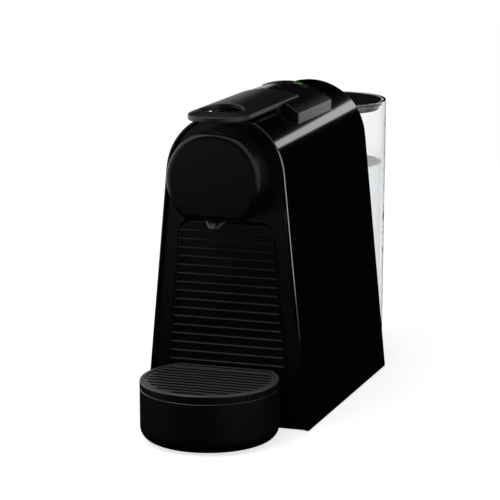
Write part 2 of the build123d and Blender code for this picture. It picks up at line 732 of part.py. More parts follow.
# Lever: crowned band with a drooping rounded nose, a finger hole and two cheeks down to the hinge
with BuildPart() as lever:
    with BuildSketch(upright(NOSE_START)) as band:
        add(crown_face(LEVER_CROWN_R, LEVER_HALF + LEVER_T, ARCH_Z, LEVER_AXIS_Z))
        add(
            crown_face(LEVER_CROWN_R - LEVER_T, 2 * LEVER_HALF, ARCH_Z - LEVER_T, LEVER_AXIS_Z),
            mode=Mode.SUBTRACT,
        )
    extrude(amount=-(HINGE_DEPTH + HINGE_REACH - NOSE_START))
    nose_axis = Axis((0, FACE_Y + NOSE_START, BLOCK_CREST - NOSE_R), (1, 0, 0))
    revolve(band.sketch, axis=nose_axis, revolution_arc=NOSE_ARC)
    with BuildSketch(level(HINGE_Z - ARCH_R)):
        with BuildLine():
            Line((LEVER_HALF, LEVER_CORNER), (LEVER_HALF, HINGE_DEPTH + HINGE_REACH))
            Line((LEVER_HALF, HINGE_DEPTH + HINGE_REACH), (-LEVER_HALF, HINGE_DEPTH + HINGE_REACH))
            Line((-LEVER_HALF, HINGE_DEPTH + HINGE_REACH), (-LEVER_HALF, LEVER_CORNER))
            ThreePointArc((-LEVER_HALF, LEVER_CORNER), (0, LEVER_NOSE), (LEVER_HALF, LEVER_CORNER))
        make_face()
    extrude(amount=2 * ARCH_R, mode=Mode.INTERSECT)
    with BuildSketch(sideways(-LEVER_HALF)):
        with Locations((HINGE_DEPTH, HINGE_Z)):
            Rectangle(2 * HINGE_REACH, 2 * HINGE_REACH, align=(Align.MIN, Align.CENTER))
            Circle(HINGE_REACH, mode=Mode.SUBTRACT)
    extrude(amount=2 * LEVER_HALF, mode=Mode.SUBTRACT)
    with BuildSketch(level(HINGE_Z)):
        with Locations((0, HOLE_DEPTH)):
            Circle(HOLE_R)
    extrude(amount=ARCH_R, mode=Mode.SUBTRACT)
    fillet(lever.edges(), LEVER_ROUND)
    with BuildSketch(sideways(CHEEK_IN)):
        cheek_top = LEVER_AXIS_Z + sqrt((LEVER_CROWN_R - LEVER_T / 2) ** 2 - CHEEK_OUT**2)
        with BuildLine():
            Polyline(
                (HINGE_DEPTH - CHEEK_R, HINGE_Z),
                (DRIVE_DEPTH - CHEEK_R, DRIVE_Z),
                (DRIVE_DEPTH - CHEEK_R, cheek_top),
                (HINGE_DEPTH + 2 * CHEEK_R, cheek_top),
                (HINGE_DEPTH + CHEEK_R, HINGE_Z),
                close=True,
            )
        make_face()
        with Locations((HINGE_DEPTH, HINGE_Z)):
            Circle(CHEEK_R)
        with Locations((HINGE_DEPTH, HINGE_Z)):
            Circle(PIVOT_R + PIN_RUN, mode=Mode.SUBTRACT)
        with Locations((DRIVE_DEPTH, DRIVE_Z)):
            Circle(DRIVE_R + PIN_RUN / 2, mode=Mode.SUBTRACT)
    extrude(amount=CHEEK_OUT - CHEEK_IN)
    mirror(about=Plane.YZ)
lever.part.label = "lever"
export_step(lever.part, "parts/lever.step")

# Drive pin: cross pin between the cheeks that pushes the cage fork
with BuildPart() as drive_pin:
    with BuildSketch(sideways(-CHEEK_OUT)):
        with Locations((DRIVE_DEPTH, DRIVE_Z)):
            Circle(DRIVE_R)
    extrude(amount=2 * CHEEK_OUT)
drive_pin.part.label = "drive_pin"
export_step(drive_pin.part, "parts/drive_pin.step")

# Control block: crowned hood on the arch with the lever's channel and the two button openings
with BuildPart() as control_block:
    with BuildSketch(upright(BLOCK_FRONT)):
        add(crown_face(CROWN_R, BLOCK_HALF, ARCH_Z))
    extrude(amount=-(BLOCK_BACK - BLOCK_FRONT))
    fillet(control_block.edges().filter_by(lambda edge: edge.center().Z > ARCH_Z), BLOCK_ROUND)
    with BuildSketch(upright(BLOCK_FRONT + BLOCK_WALL)):
        add(crown_face(CROWN_R - BLOCK_WALL, BLOCK_HALF - BLOCK_WALL, ARCH_Z))
    extrude(amount=-(BLOCK_BACK - BLOCK_FRONT - 2 * BLOCK_WALL), mode=Mode.SUBTRACT)
    with BuildSketch(upright(BLOCK_FRONT)):
        add(crown_face(CROWN_R - BLOCK_WALL / 2, LEVER_HALF + RUN + BLOCK_WALL, ARCH_Z))
        add(crown_face(CROWN_R, LEVER_HALF + RUN, ARCH_Z), mode=Mode.SUBTRACT)
    extrude(amount=-(HINGE_DEPTH + HINGE_REACH - BLOCK_FRONT))
    with BuildSketch(sideways(-LEVER_HALF - RUN)):
        with Locations((HINGE_DEPTH, HINGE_Z)):
            Circle(HINGE_REACH + RUN)
            Rectangle(BLOCK_FRONT, 2 * (HINGE_REACH + RUN), align=(Align.MAX, Align.CENTER))
    extrude(amount=2 * (LEVER_HALF + RUN), mode=Mode.SUBTRACT)
    with BuildSketch(level(BUTTON_BOARD_Z)):
        with Locations((-POST_X, BUTTON_DEPTH), (POST_X, BUTTON_DEPTH)):
            Circle(POST_R)
    extrude(amount=POST_TOP_Z - BUTTON_BOARD_Z)
    with BuildSketch(level(BUTTON_FLANGE_Z)):
        with Locations((-BUTTON_X, BUTTON_DEPTH), (BUTTON_X, BUTTON_DEPTH)):
            add(oval_face(BUTTON_W + 2 * BUTTON_GAP, BUTTON_L + 2 * BUTTON_GAP))
    extrude(amount=CROWN_R, mode=Mode.SUBTRACT)
    with BuildSketch(upright(0)):
        add(arch_face(-FIT / 4, SHELL_LIFT))
    extrude(amount=-BODY_DEPTH, mode=Mode.SUBTRACT)
control_block.part.label = "control_block"
export_step(control_block.part, "parts/control_block.step")

# Buttons: crowned ovals with a retaining flange and a stem over each switch
with BuildPart() as button_left:
    with BuildSketch(level(BUTTON_FLANGE_Z)):
        with Locations((-BUTTON_X, BUTTON_DEPTH)):
            add(oval_face(BUTTON_W, BUTTON_L))
    extrude(amount=CROWN_R)
    with BuildSketch(upright(0)):
        add(crown_face(CROWN_R + BUTTON_PROUD, BLOCK_HALF, ARCH_Z))
    extrude(amount=-BODY_DEPTH, mode=Mode.INTERSECT)
    with BuildSketch(level(BUTTON_FLANGE_Z - BUTTON_FLANGE_T)):
        with Locations((-BUTTON_X, BUTTON_DEPTH)):
            add(oval_face(BUTTON_W + 2 * BUTTON_LEDGE, BUTTON_L + 2 * BUTTON_LEDGE))
    extrude(amount=BUTTON_FLANGE_T)
    with BuildSketch(level(STEM_Z)):
        with Locations((-BUTTON_X, BUTTON_DEPTH)):
            Circle(BUTTON_STEM_R)
    extrude(amount=BUTTON_STEM_H)
button_left.part.label = "button_left"
export_step(button_left.part, "parts/button_left.step")

with BuildPart() as button_right:
    mirror(button_left.part, about=Plane.YZ)
button_right.part.label = "button_right"
export_step(button_right.part, "parts/button_right.step")

# Button board and its two switches, hung from the posts of the block
with BuildPart() as button_board:
    with BuildSketch(level(BUTTON_BOARD_Z)):
        with Locations((0, BUTTON_DEPTH)):
            Rectangle(2 * (POST_X + POST_R), BUTTON_L + BLOCK_WALL)
    extrude(amount=-BOARD_T)
button_board.part.label = "button_board"
export_step(button_board.part, "parts/button_board.step")

with BuildPart() as button_switches:
    with BuildSketch(level(BUTTON_BOARD_Z)):
        with Locations((-BUTTON_X, BUTTON_DEPTH), (BUTTON_X, BUTTON_DEPTH)):
            Rectangle(SWITCH_SIDE, SWITCH_SIDE)
    extrude(amount=SWITCH_H / 2)
    with BuildSketch(level(BUTTON_BOARD_Z + SWITCH_H / 2)):
        with Locations((-BUTTON_X, BUTTON_DEPTH), (BUTTON_X, BUTTON_DEPTH)):
            Circle(BUTTON_STEM_R)
    extrude(amount=SWITCH_H / 2)
button_switches.part.label = "button_switches"
export_step(button_switches.part, "parts/button_switches.step")

# Base plate: floor of the body with rails for the tray tongue, pump saddles, heater ribs and tank platform
with BuildPart() as base_plate:
    with BuildSketch(level(BASE_LIFT)):
        with Locations((0, PANEL_BACK + FIT)):
            Rectangle(2 * BASE_HALF, COVER_FRONT - PANEL_BACK - 2 * FIT, align=(Align.CENTER, Align.MIN))
        with Locations((0, COVER_FRONT - FIT)):
            Rectangle(TANK_R_FOOT, TANK_AXIS - COVER_FRONT + FIT, align=(Align.CENTER, Align.MIN))
        with Locations((0, TANK_AXIS)):
            Circle(PLATFORM_R)
    extrude(amount=BASE_T)
    with BuildSketch(level(BASE_TOP)):
        add(tank_face(PLATFORM_R, TANK_FRONT))
        add(tank_face(PLATFORM_R - SHELL_WALL, TANK_FRONT + SHELL_WALL), mode=Mode.SUBTRACT)
    extrude(amount=PLATFORM_TOP - BASE_TOP)
    with BuildSketch(level(PLATFORM_TOP - SHELL_WALL)):
        add(tank_face(PLATFORM_R, TANK_FRONT))
        with Locations((0, TANK_AXIS)):
            Circle(NOZZLE_R + SHELL_WALL + FIT, mode=Mode.SUBTRACT)
    extrude(amount=SHELL_WALL)
    with BuildSketch(upright(TANK_FRONT - RUN)):
        with Locations((0, BASE_TOP)):
            Rectangle(2 * (HOSE_R + RUN), 2 * (HOSE_R + RUN), align=(Align.CENTER, Align.MIN))
    extrude(amount=-(SHELL_WALL + 2 * RUN), mode=Mode.SUBTRACT)
    with BuildSketch(level(BASE_TOP)):
        with Locations((0, PANEL_BACK + FIT)):
            Rectangle(
                2 * (BIN_HALF + RUN + RAIL_T),
                BIN_BACK + RUN + RAIL_T - PANEL_BACK,
                align=(Align.CENTER, Align.MIN),
            )
            Rectangle(
                2 * (BIN_HALF + RUN),
                BIN_BACK + RUN - PANEL_BACK,
                align=(Align.CENTER, Align.MIN),
                mode=Mode.SUBTRACT,
            )
    extrude(amount=RAIL_H)
    with BuildSketch(upright(HEATER_DEPTH - HEATER_D / 2)):
        with Locations((-HEATER_W / 3, BASE_TOP), (HEATER_W / 3, BASE_TOP)):
            Rectangle(BASE_T, HEATER_Z - BASE_TOP, align=(Align.CENTER, Align.MIN))
    extrude(amount=-HEATER_D)
    for end in (-1, 1):
        with BuildSketch(sideways(PUMP_X + end * SADDLE_X - MOUNT_W / 4)):
            with Locations((PUMP_DEPTH, BASE_TOP)):
                Rectangle(SADDLE_W, PUMP_Z - BASE_TOP, align=(Align.CENTER, Align.MIN))
            with Locations((PUMP_DEPTH, PUMP_Z)):
                Circle(PUMP_NECK_R + MOUNT_T / 2, mode=Mode.SUBTRACT)
        extrude(amount=MOUNT_W / 2)
    with BuildSketch(level(BASE_TOP)):
        with Locations((METER_X, PUMP_DEPTH)):
            Circle(METER_POST_R)
    extrude(amount=METER_Z - BASE_TOP)
    with BuildSketch(level(BASE_LIFT)):
        with Locations(
            (-FOOT_FRONT_X, FOOT_FRONT_DEPTH),
            (FOOT_FRONT_X, FOOT_FRONT_DEPTH),
            (-FOOT_REAR_X, TANK_AXIS),
            (FOOT_REAR_X, TANK_AXIS),
        ):
            Circle(FOOT_R / 2 + FIT)
    extrude(amount=BASE_T, mode=Mode.SUBTRACT)
base_plate.part.label = "base_plate"
export_step(base_plate.part, "parts/base_plate.step")

# Rubber feet: four pads with a plug through the base plate
with BuildPart() as rubber_feet:
    with Locations(level(0)):
        with Locations(
            (-FOOT_FRONT_X, FOOT_FRONT_DEPTH),
            (FOOT_FRONT_X, FOOT_FRONT_DEPTH),
            (-FOOT_REAR_X, TANK_AXIS),
            (FOOT_REAR_X, TANK_AXIS),
        ):
            Cylinder(FOOT_R, BASE_LIFT, align=(Align.CENTER, Align.CENTER, Align.MIN))
            Cylinder(FOOT_R / 2, BASE_LIFT + BASE_T, align=(Align.CENTER, Align.CENTER, Align.MIN))
rubber_feet.part.label = "rubber_feet"
export_step(rubber_feet.part, "parts/rubber_feet.step")

# Rear cover: arch plate with air slots, board standoffs, a pipe notch and the gland opening
STANDOFF_X = BOARD_W / 2 - 2 * STANDOFF_R
STANDOFF_Z = BOARD_H / 2 - 2 * STANDOFF_R
BOARD_MID = BOARD_Z + BOARD_H / 2
with BuildPart() as rear_cover:
    with BuildSketch(upright(COVER_FRONT)):
        add(arch_face(INNER, BASE_LIFT))
        with Locations((0, BASE_LIFT)):
            Rectangle(
                TANK_R_FOOT + 2 * FIT,
                BASE_T + 4 * HOSE_R + 2 * FIT,
                align=(Align.CENTER, Align.MIN),
                mode=Mode.SUBTRACT,
            )
        with Locations((GLAND_X, GLAND_Z)):
            Circle(GLAND_NECK_R + FIT, mode=Mode.SUBTRACT)
        with Locations((0, BREW_Z - ARCH_R / 2)):
            with GridLocations(0, VENT_PITCH, 1, VENT_COUNT):
                SlotOverall(VENT_L, VENT_W, mode=Mode.SUBTRACT)
    extrude(amount=-COVER_T)
    with BuildSketch(upright(COVER_FRONT)):
        with Locations((0, BOARD_MID)):
            with GridLocations(2 * STANDOFF_X, 2 * STANDOFF_Z, 2, 2):
                Circle(STANDOFF_R)
    extrude(amount=STANDOFF)
rear_cover.part.label = "rear_cover"
export_step(rear_cover.part, "parts/rear_cover.step")

# Control board with its larger components
with BuildPart() as control_board:
    with BuildSketch(upright(BOARD_DEPTH)):
        with Locations((0, BOARD_MID)):
            RectangleRounded(BOARD_W, BOARD_H, BOARD_ROUND)
    extrude(amount=-BOARD_T)
control_board.part.label = "control_board"
export_step(control_board.part, "parts/control_board.step")

# Cord gland: moulded collar in the rear cover
with BuildPart() as cord_gland:
    with BuildSketch(upright(COVER_BACK)):
        with Locations((GLAND_X, GLAND_Z)):
            Circle(GLAND_R)
    extrude(amount=-GLAND_R)
    fillet(cord_gland.faces().sort_by(Axis.Y)[-1].edges(), GLAND_ROUND)
    with BuildSketch(upright(COVER_FRONT - COVER_T)):
        with Locations((GLAND_X, GLAND_Z)):
            Circle(GLAND_NECK_R)
    extrude(amount=-2 * COVER_T)
    with BuildSketch(upright(COVER_FRONT - COVER_T)):
        with Locations((GLAND_X, GLAND_Z)):
            Circle(GLAND_R / 2)
    extrude(amount=-4 * GLAND_R, mode=Mode.SUBTRACT)
cord_gland.part.label = "cord_gland"
export_step(cord_gland.part, "parts/cord_gland.step")

# Heater block: cast block with cooling ribs and two pipe stubs, standing on the base ribs
with BuildPart() as heater_block:
    with BuildSketch(level(HEATER_Z)):
        with Locations((0, HEATER_DEPTH)):
            RectangleRounded(HEATER_W, HEATER_D, HEATER_ROUND)
    extrude(amount=HEATER_H)
    with BuildSketch(upright(HEATER_DEPTH - HEATER_D / 2)):
        with Locations((0, HEATER_Z + HEATER_H / 2)):
            with GridLocations(0, GROOVE_PITCH, 1, GROOVE_COUNT):
                SlotOverall(HEATER_W - 2 * HEATER_ROUND, GROOVE_W)
    extrude(amount=-GROOVE_T, mode=Mode.SUBTRACT)
    with BuildSketch(level(HEATER_Z + HEATER_H)):
        with Locations((-HEATER_W / 4, HEATER_DEPTH), (HEATER_W / 4, HEATER_DEPTH)):
            Circle(STUB_R)
    extrude(amount=STUB_H)
heater_block.part.label = "heater_block"
export_step(heater_block.part, "parts/heater_block.step")

# Thermostat: round switch clipped on the back of the heater
with BuildPart() as thermostat:
    with BuildSketch(upright(HEATER_DEPTH + HEATER_D / 2)):
        with Locations((0, THERMOSTAT_Z)):
            Circle(THERMOSTAT_R)
    extrude(amount=-THERMOSTAT_T)
    with BuildSketch(upright(HEATER_DEPTH + HEATER_D / 2 + THERMOSTAT_T)):
        with Locations((-THERMOSTAT_R / 2, THERMOSTAT_Z), (THERMOSTAT_R / 2, THERMOSTAT_Z)):
            Rectangle(TAB_W, TAB_H)
    extrude(amount=-TAB_L)
thermostat.part.label = "thermostat"
export_step(thermostat.part, "parts/thermostat.step")

# Pump: turned body lying on its saddles, with a square coil round the middle
with BuildPart() as pump_body:
    with BuildSketch(upright(PUMP_DEPTH)):
        with BuildLine():
            Polyline(
                (PUMP_X - PUMP_HALF, PUMP_Z),
                (PUMP_X - PUMP_HALF, PUMP_Z + HOSE_BORE_R + HOSE_R / 2),
                (PUMP_X - PUMP_HALF + MOUNT_W / 2, PUMP_Z + HOSE_BORE_R + HOSE_R / 2),
                (PUMP_X - PUMP_HALF + MOUNT_W / 2, PUMP_Z + PUMP_NECK_R),
                (PUMP_X + PUMP_HALF - MOUNT_W / 2, PUMP_Z + PUMP_NECK_R),
                (PUMP_X + PUMP_HALF - MOUNT_W / 2, PUMP_Z + HOSE_BORE_R + HOSE_R / 2),
                (PUMP_X + PUMP_HALF, PUMP_Z + HOSE_BORE_R + HOSE_R / 2),
                (PUMP_X + PUMP_HALF, PUMP_Z),
                close=True,
            )
        make_face()
    revolve(axis=Axis((0, FACE_Y + PUMP_DEPTH, PUMP_Z), (1, 0, 0)))
pump_body.part.label = "pump_body"
export_step(pump_body.part, "parts/pump_body.step")

with BuildPart() as pump_coil:
    with BuildSketch(sideways(PUMP_X - COIL_L / 2)):
        with Locations((PUMP_DEPTH, PUMP_Z)):
            RectangleRounded(COIL_SIDE, COIL_SIDE, COIL_ROUND)
            Circle(PUMP_NECK_R + FIT, mode=Mode.SUBTRACT)
    extrude(amount=COIL_L)
pump_coil.part.label = "pump_coil"
export_step(pump_coil.part, "parts/pump_coil.step")

with BuildPart() as pump_mounts:
    for end in (-1, 1):
        with BuildSketch(sideways(PUMP_X + end * SADDLE_X - MOUNT_W / 2)):
            with Locations((PUMP_DEPTH, PUMP_Z)):
                Circle(PUMP_NECK_R + MOUNT_T)
                Circle(PUMP_NECK_R + FIT / 2, mode=Mode.SUBTRACT)
        extrude(amount=MOUNT_W)
        with BuildSketch(sideways(PUMP_X + end * SADDLE_X - MOUNT_W / 4 - FIT / 2)):
            with Locations((PUMP_DEPTH, PUMP_Z)):
                Circle(2 * PUMP_NECK_R)
                Circle(PUMP_NECK_R + MOUNT_T / 2 - FIT / 2, mode=Mode.SUBTRACT)
        extrude(amount=MOUNT_W / 2 + FIT, mode=Mode.SUBTRACT)
pump_mounts.part.label = "pump_mounts"
export_step(pump_mounts.part, "parts/pump_mounts.step")

# Flow meter: round housing on a post of the base, with an inlet behind and an outlet on top
with BuildPart() as flow_meter:
    with BuildSketch(level(METER_Z)):
        with Locations((METER_X, PUMP_DEPTH)):
            Circle(METER_R)
    extrude(amount=METER_H)
    fillet(flow_meter.faces().sort_by(Axis.Z)[-1].edges(), METER_ROUND)
    with BuildSketch(level(METER_Z + METER_H)):
        with Locations((METER_X, PUMP_DEPTH)):
            Circle(HOSE_R)
    extrude(amount=HOSE_R / 2)
flow_meter.part.label = "flow_meter"
export_step(flow_meter.part, "parts/flow_meter.step")

# Drip tray: round basin with a full lower edge and a tongue that carries the capsule bin
with BuildPart() as drip_tray:
    with BuildSketch(level(TRAY_LIFT)):
        add(tray_face(TRAY_R, TRAY_BACK))
    extrude(amount=TRAY_RIM_Z - TRAY_LIFT - FIT)
    fillet(drip_tray.faces().sort_by(Axis.Z)[0].edges().filter_by(GeomType.CIRCLE), TRAY_ROUND)
    chamfer(drip_tray.faces().sort_by(Axis.Z)[-1].edges().filter_by(GeomType.CIRCLE), SEAM_CHAMFER)
    with BuildSketch(level(TRAY_LIFT + TRAY_WALL)):
        add(tray_face(TRAY_R - TRAY_ROUND, TRAY_BACK - TRAY_WALL))
    extrude(amount=TRAY_RIM_Z, mode=Mode.SUBTRACT)
    with BuildSketch(level(TRAY_LIFT + TRAY_ROUND)):
        add(tray_face(TRAY_R - TRAY_WALL, TRAY_BACK - TRAY_WALL))
    extrude(amount=TRAY_RIM_Z, mode=Mode.SUBTRACT)
    with BuildSketch(level(TONGUE_Z)):
        with Locations((0, TRAY_BACK - TRAY_WALL / 2)):
            Rectangle(2 * BIN_HALF, BIN_BACK - TRAY_BACK + TRAY_WALL / 2, align=(Align.CENTER, Align.MIN))
    extrude(amount=TONGUE_T)
drip_tray.part.label = "drip_tray"
export_step(drip_tray.part, "parts/drip_tray.step")

# Cup grid: rim that caps the tray, slotted plate and a locating ring inside the basin
GRID_PLATE_Z = TRAY_TOP - GRID_SINK - GRID_T
SKIRT_SET = TRAY_WALL + RUN
SKIRT_IN = SKIRT_SET + GRID_SKIRT_T
SLOT_REACH = TRAY_R - GRID_RIM_W - GRID_SLOT
FIRST_SLOT = -int(SLOT_REACH / GRID_PITCH)
LAST_SLOT = int((TRAY_BACK - GRID_RIM_W - GRID_SLOT + TRAY_OUT) / GRID_PITCH)
with BuildPart() as cup_grid:
    with BuildSketch(level(TRAY_RIM_Z)):
        add(tray_face(TRAY_R, TRAY_BACK))
    extrude(amount=GRID_RIM_H)
    fillet(cup_grid.faces().sort_by(Axis.Z)[-1].edges().filter_by(GeomType.CIRCLE), GRID_ROUND)
    chamfer(cup_grid.faces().sort_by(Axis.Z)[0].edges().filter_by(GeomType.CIRCLE), SEAM_CHAMFER)
    with BuildSketch(level(GRID_PLATE_Z + GRID_T)):
        add(tray_face(TRAY_R - GRID_RIM_W, TRAY_BACK - GRID_RIM_W))
    extrude(amount=GRID_RIM_H, mode=Mode.SUBTRACT)
    with BuildSketch(level(TRAY_RIM_Z)):
        add(tray_face(TRAY_R - GRID_RIM_W, TRAY_BACK - GRID_RIM_W))
    extrude(amount=GRID_PLATE_Z - TRAY_RIM_Z, mode=Mode.SUBTRACT)
    with BuildSketch(level(TRAY_RIM_Z)):
        for row in range(FIRST_SLOT, LAST_SLOT + 1):
            with Locations((0, -TRAY_OUT + row * GRID_PITCH)):
                SlotOverall(2 * sqrt(SLOT_REACH**2 - (row * GRID_PITCH) ** 2) + GRID_SLOT, GRID_SLOT)
    extrude(amount=GRID_RIM_H, mode=Mode.SUBTRACT)
    with BuildSketch(level(TRAY_RIM_Z - GRID_RIM_W)):
        add(tray_face(TRAY_R - SKIRT_SET, TRAY_BACK - SKIRT_SET))
        add(tray_face(TRAY_R - SKIRT_IN, TRAY_BACK - SKIRT_IN), mode=Mode.SUBTRACT)
    extrude(amount=GRID_RIM_W)
cup_grid.part.label = "cup_grid"
export_step(cup_grid.part, "parts/cup_grid.step")

# Capsule bin: open box behind the ribbed front, leaning in with the portal
with BuildPart() as capsule_bin:
    with BuildSketch(upright(FRONT_BACK)):
        add(bin_face(0, BIN_Z, BIN_TOP))
    extrude(amount=-(BIN_BACK - FRONT_BACK))
    with BuildSketch(upright(FRONT_BACK + BIN_WALL)):
        add(bin_face(BIN_WALL, BIN_Z + BIN_WALL, BIN_TOP + BIN_WALL))
    extrude(amount=-(BIN_BACK - FRONT_BACK - 2 * BIN_WALL), mode=Mode.SUBTRACT)
capsule_bin.part.label = "capsule_bin"
export_step(capsule_bin.part, "parts/capsule_bin.step")

# Ribbed front of the bin: plate that fills the portal, with a narrow border and thin level ribs
with BuildPart() as grille_front:
    with BuildSketch(upright(FRONT_FACE)):
        add(portal_face(RUN, BIN_Z, FRONT_TOP))
    extrude(amount=-FRONT_T)
    with BuildSketch(upright(FRONT_FACE)):
        add(portal_face(RUN, BIN_Z, FRONT_TOP))
        add(portal_face(RUN + RIB_BORDER, BIN_Z - RIB_BORDER, FRONT_TOP - RIB_BORDER), mode=Mode.SUBTRACT)
    extrude(amount=RIB_OUT / 2)
    with BuildSketch(upright(FRONT_FACE)):
        for row in range(RIB_COUNT):
            rib_z = RIB_TOP_Z - row * RIB_PITCH
            with Locations((0, rib_z)):
                Rectangle(2 * half_width(rib_z, PORTAL_MARGIN + RUN + RIB_BORDER / 2), RIB_T)
    extrude(amount=RIB_OUT)
grille_front.part.label = "grille_front"
export_step(grille_front.part, "parts/grille_front.step")

# Water tank: clear, slightly widening, flat in front, with a ledge for the lid and a nozzle below
TANK_INSIDE_Z = TANK_Z + TANK_FLOOR
LEDGE_Z = TANK_TOP - LID_T - FIT
LID_R = TANK_R_TOP - TANK_WALL - LID_GAP
NOZZLE_Z = TANK_Z - NOZZLE_DROP
with BuildPart() as water_tank:
    with BuildSketch(level(TANK_Z)):
        add(tank_face(TANK_R_FOOT, TANK_FRONT))
    with BuildSketch(level(TANK_TOP)):
        add(tank_face(TANK_R_TOP, TANK_FRONT))
    loft()
    fillet(water_tank.faces().sort_by(Axis.Z)[0].edges(), TANK_WALL)
    with BuildSketch(level(TANK_INSIDE_Z)):
        add(tank_face(TANK_R_FOOT - TANK_WALL, TANK_FRONT + TANK_WALL))
    with BuildSketch(level(TANK_TOP)):
        add(tank_face(TANK_R_TOP - TANK_WALL, TANK_FRONT + TANK_WALL))
    loft(mode=Mode.SUBTRACT)
    fillet(water_tank.faces().sort_by(Axis.Z)[-1].edges(), RIM_ROUND)
    with BuildSketch(level(LEDGE_Z - LEDGE_W)):
        add(tank_face(TANK_R_TOP - TANK_WALL / 2, TANK_FRONT + TANK_WALL / 2))
        add(tank_face(LID_R - LEDGE_W, TANK_FRONT + TANK_WALL + LEDGE_W), mode=Mode.SUBTRACT)
    extrude(amount=LEDGE_W)
    with BuildSketch(level(NOZZLE_Z)):
        with Locations((0, TANK_AXIS)):
            Circle(NOZZLE_R)
            Circle(NOZZLE_R - NOZZLE_WALL, mode=Mode.SUBTRACT)
    extrude(amount=NOZZLE_DROP)
    with BuildSketch(level(TANK_Z)):
        with Locations((0, TANK_AXIS)):
            Circle(STEM_R + RUN)
    extrude(amount=TANK_FLOOR, mode=Mode.SUBTRACT)
water_tank.part.label = "water_tank"
export_step(water_tank.part, "parts/water_tank.step")

# Tank lid: flat plate that drops inside the rim, with a skirt and a finger dent
SKIRT_GAP = LEDGE_W + RUN
LID_SKIRT_FRONT = TANK_FRONT + TANK_WALL + SKIRT_GAP + LEDGE_W
with BuildPart() as tank_lid:
    with BuildSketch(level(TANK_TOP - LID_T)):
        add(tank_face(LID_R, TANK_FRONT + TANK_WALL + LID_GAP))
    extrude(amount=LID_T)
    fillet(tank_lid.faces().sort_by(Axis.Z)[-1].edges(), LID_ROUND)
    with BuildSketch(level(TANK_TOP - LID_T - 2 * LEDGE_W)):
        add(tank_face(LID_R - SKIRT_GAP, TANK_FRONT + TANK_WALL + SKIRT_GAP))
        add(tank_face(LID_R - SKIRT_GAP - LEDGE_W, LID_SKIRT_FRONT), mode=Mode.SUBTRACT)
    extrude(amount=2 * LEDGE_W)
    with BuildSketch(level(TANK_TOP - LID_T / 2)):
        with Locations((0, TANK_AXIS + LID_R / 2)):
            SlotOverall(LID_R / 2, LID_R / 4)
    extrude(amount=LID_T, mode=Mode.SUBTRACT)
tank_lid.part.label = "tank_lid"
export_step(tank_lid.part, "parts/tank_lid.step")

# Tank valve: poppet held open by the pin of the coupling while the tank stands in place
STEM_LOW = NOZZLE_Z + STEM_SET
VALVE_Z = TANK_INSIDE_Z + VALVE_LIFT
FLANGE_R = NOZZLE_R - NOZZLE_WALL - FIT
with BuildPart() as tank_valve:
    with Locations((0, FACE_Y + TANK_AXIS, STEM_LOW)):
        Cylinder(STEM_R, VALVE_Z - STEM_LOW, align=(Align.CENTER, Align.CENTER, Align.MIN))
        Cylinder(FLANGE_R, FLANGE_T, align=(Align.CENTER, Align.CENTER, Align.MIN))
    with Locations((0, FACE_Y + TANK_AXIS, VALVE_Z)):
        Cylinder(VALVE_HEAD_R, VALVE_HEAD_T, align=(Align.CENTER, Align.CENTER, Align.MIN))
tank_valve.part.label = "tank_valve"
export_step(tank_valve.part, "parts/tank_valve.step")

# Valve spring: open coil between the flange of the stem and the floor of the tank
SPRING_R = (STEM_R + FLANGE_R) / 2
SPRING_LOW = STEM_LOW + FLANGE_T + SPRING_WIRE_R + FIT / 2
SPRING_H = TANK_Z - SPRING_LOW - SPRING_WIRE_R - FIT / 2
with BuildPart() as valve_spring:
    with BuildLine(Plane(origin=(0, FACE_Y + TANK_AXIS, SPRING_LOW))):
        coil = Helix(pitch=SPRING_H / SPRING_TURNS, height=SPRING_H, radius=SPRING_R)
    with BuildSketch(Plane(origin=coil @ 0, z_dir=coil % 0)):
        Circle(SPRING_WIRE_R)
    sweep()
valve_spring.part.label = "valve_spring"
export_step(valve_spring.part, "parts/valve_spring.step")

# Tank coupling: socket in the platform with the pin that opens the valve and a hose stub
COUPLING_R = NOZZLE_R + SHELL_WALL
COUPLING_FLOOR = HOSE_Z - HOSE_R + RUN
SEAL_Z = PLATFORM_TOP - SEAL_SET
STUB_DEPTH = TANK_AXIS - COUPLING_R - HOSE_R
with BuildPart() as tank_coupling:
    with BuildSketch(level(BASE_TOP)):
        with Locations((0, TANK_AXIS)):
            Circle(COUPLING_R)
    extrude(amount=PLATFORM_TOP - BASE_TOP)
    with BuildSketch(upright(STUB_DEPTH)):
        with Locations((0, HOSE_Z)):
            Circle(HOSE_R)
    extrude(amount=-(TANK_AXIS - STUB_DEPTH))
    with BuildSketch(level(COUPLING_FLOOR)):
        with Locations((0, TANK_AXIS)):
            Circle(NOZZLE_R + FIT)
    extrude(amount=PLATFORM_TOP, mode=Mode.SUBTRACT)
    with BuildSketch(level(SEAL_Z - SEAL_T)):
        with Locations((0, TANK_AXIS)):
            Circle(NOZZLE_R + SEAL_T)
    extrude(amount=PLATFORM_TOP, mode=Mode.SUBTRACT)
    with BuildSketch(upright(STUB_DEPTH)):
        with Locations((0, HOSE_Z)):
            Circle(HOSE_BORE_R)
    extrude(amount=-(TANK_AXIS - STUB_DEPTH), mode=Mode.SUBTRACT)
    with BuildSketch(level(BASE_TOP)):
        with Locations((0, TANK_AXIS)):
            Circle(STEM_R)
    extrude(amount=STEM_LOW - FIT - BASE_TOP)
tank_coupling.part.label = "tank_coupling"
export_step(tank_coupling.part, "parts/tank_coupling.step")

# Coupling seal: rubber ring round the nozzle
with BuildPart() as coupling_seal:
    with BuildSketch(level(SEAL_Z - SEAL_T)):
        with Locations((0, TANK_AXIS)):
            Circle(NOZZLE_R + SEAL_T - PIN_RUN)
            Circle(NOZZLE_R + 2 * PIN_RUN, mode=Mode.SUBTRACT)
    extrude(amount=SEAL_T)
coupling_seal.part.label = "coupling_seal"
export_step(coupling_seal.part, "parts/coupling_seal.step")

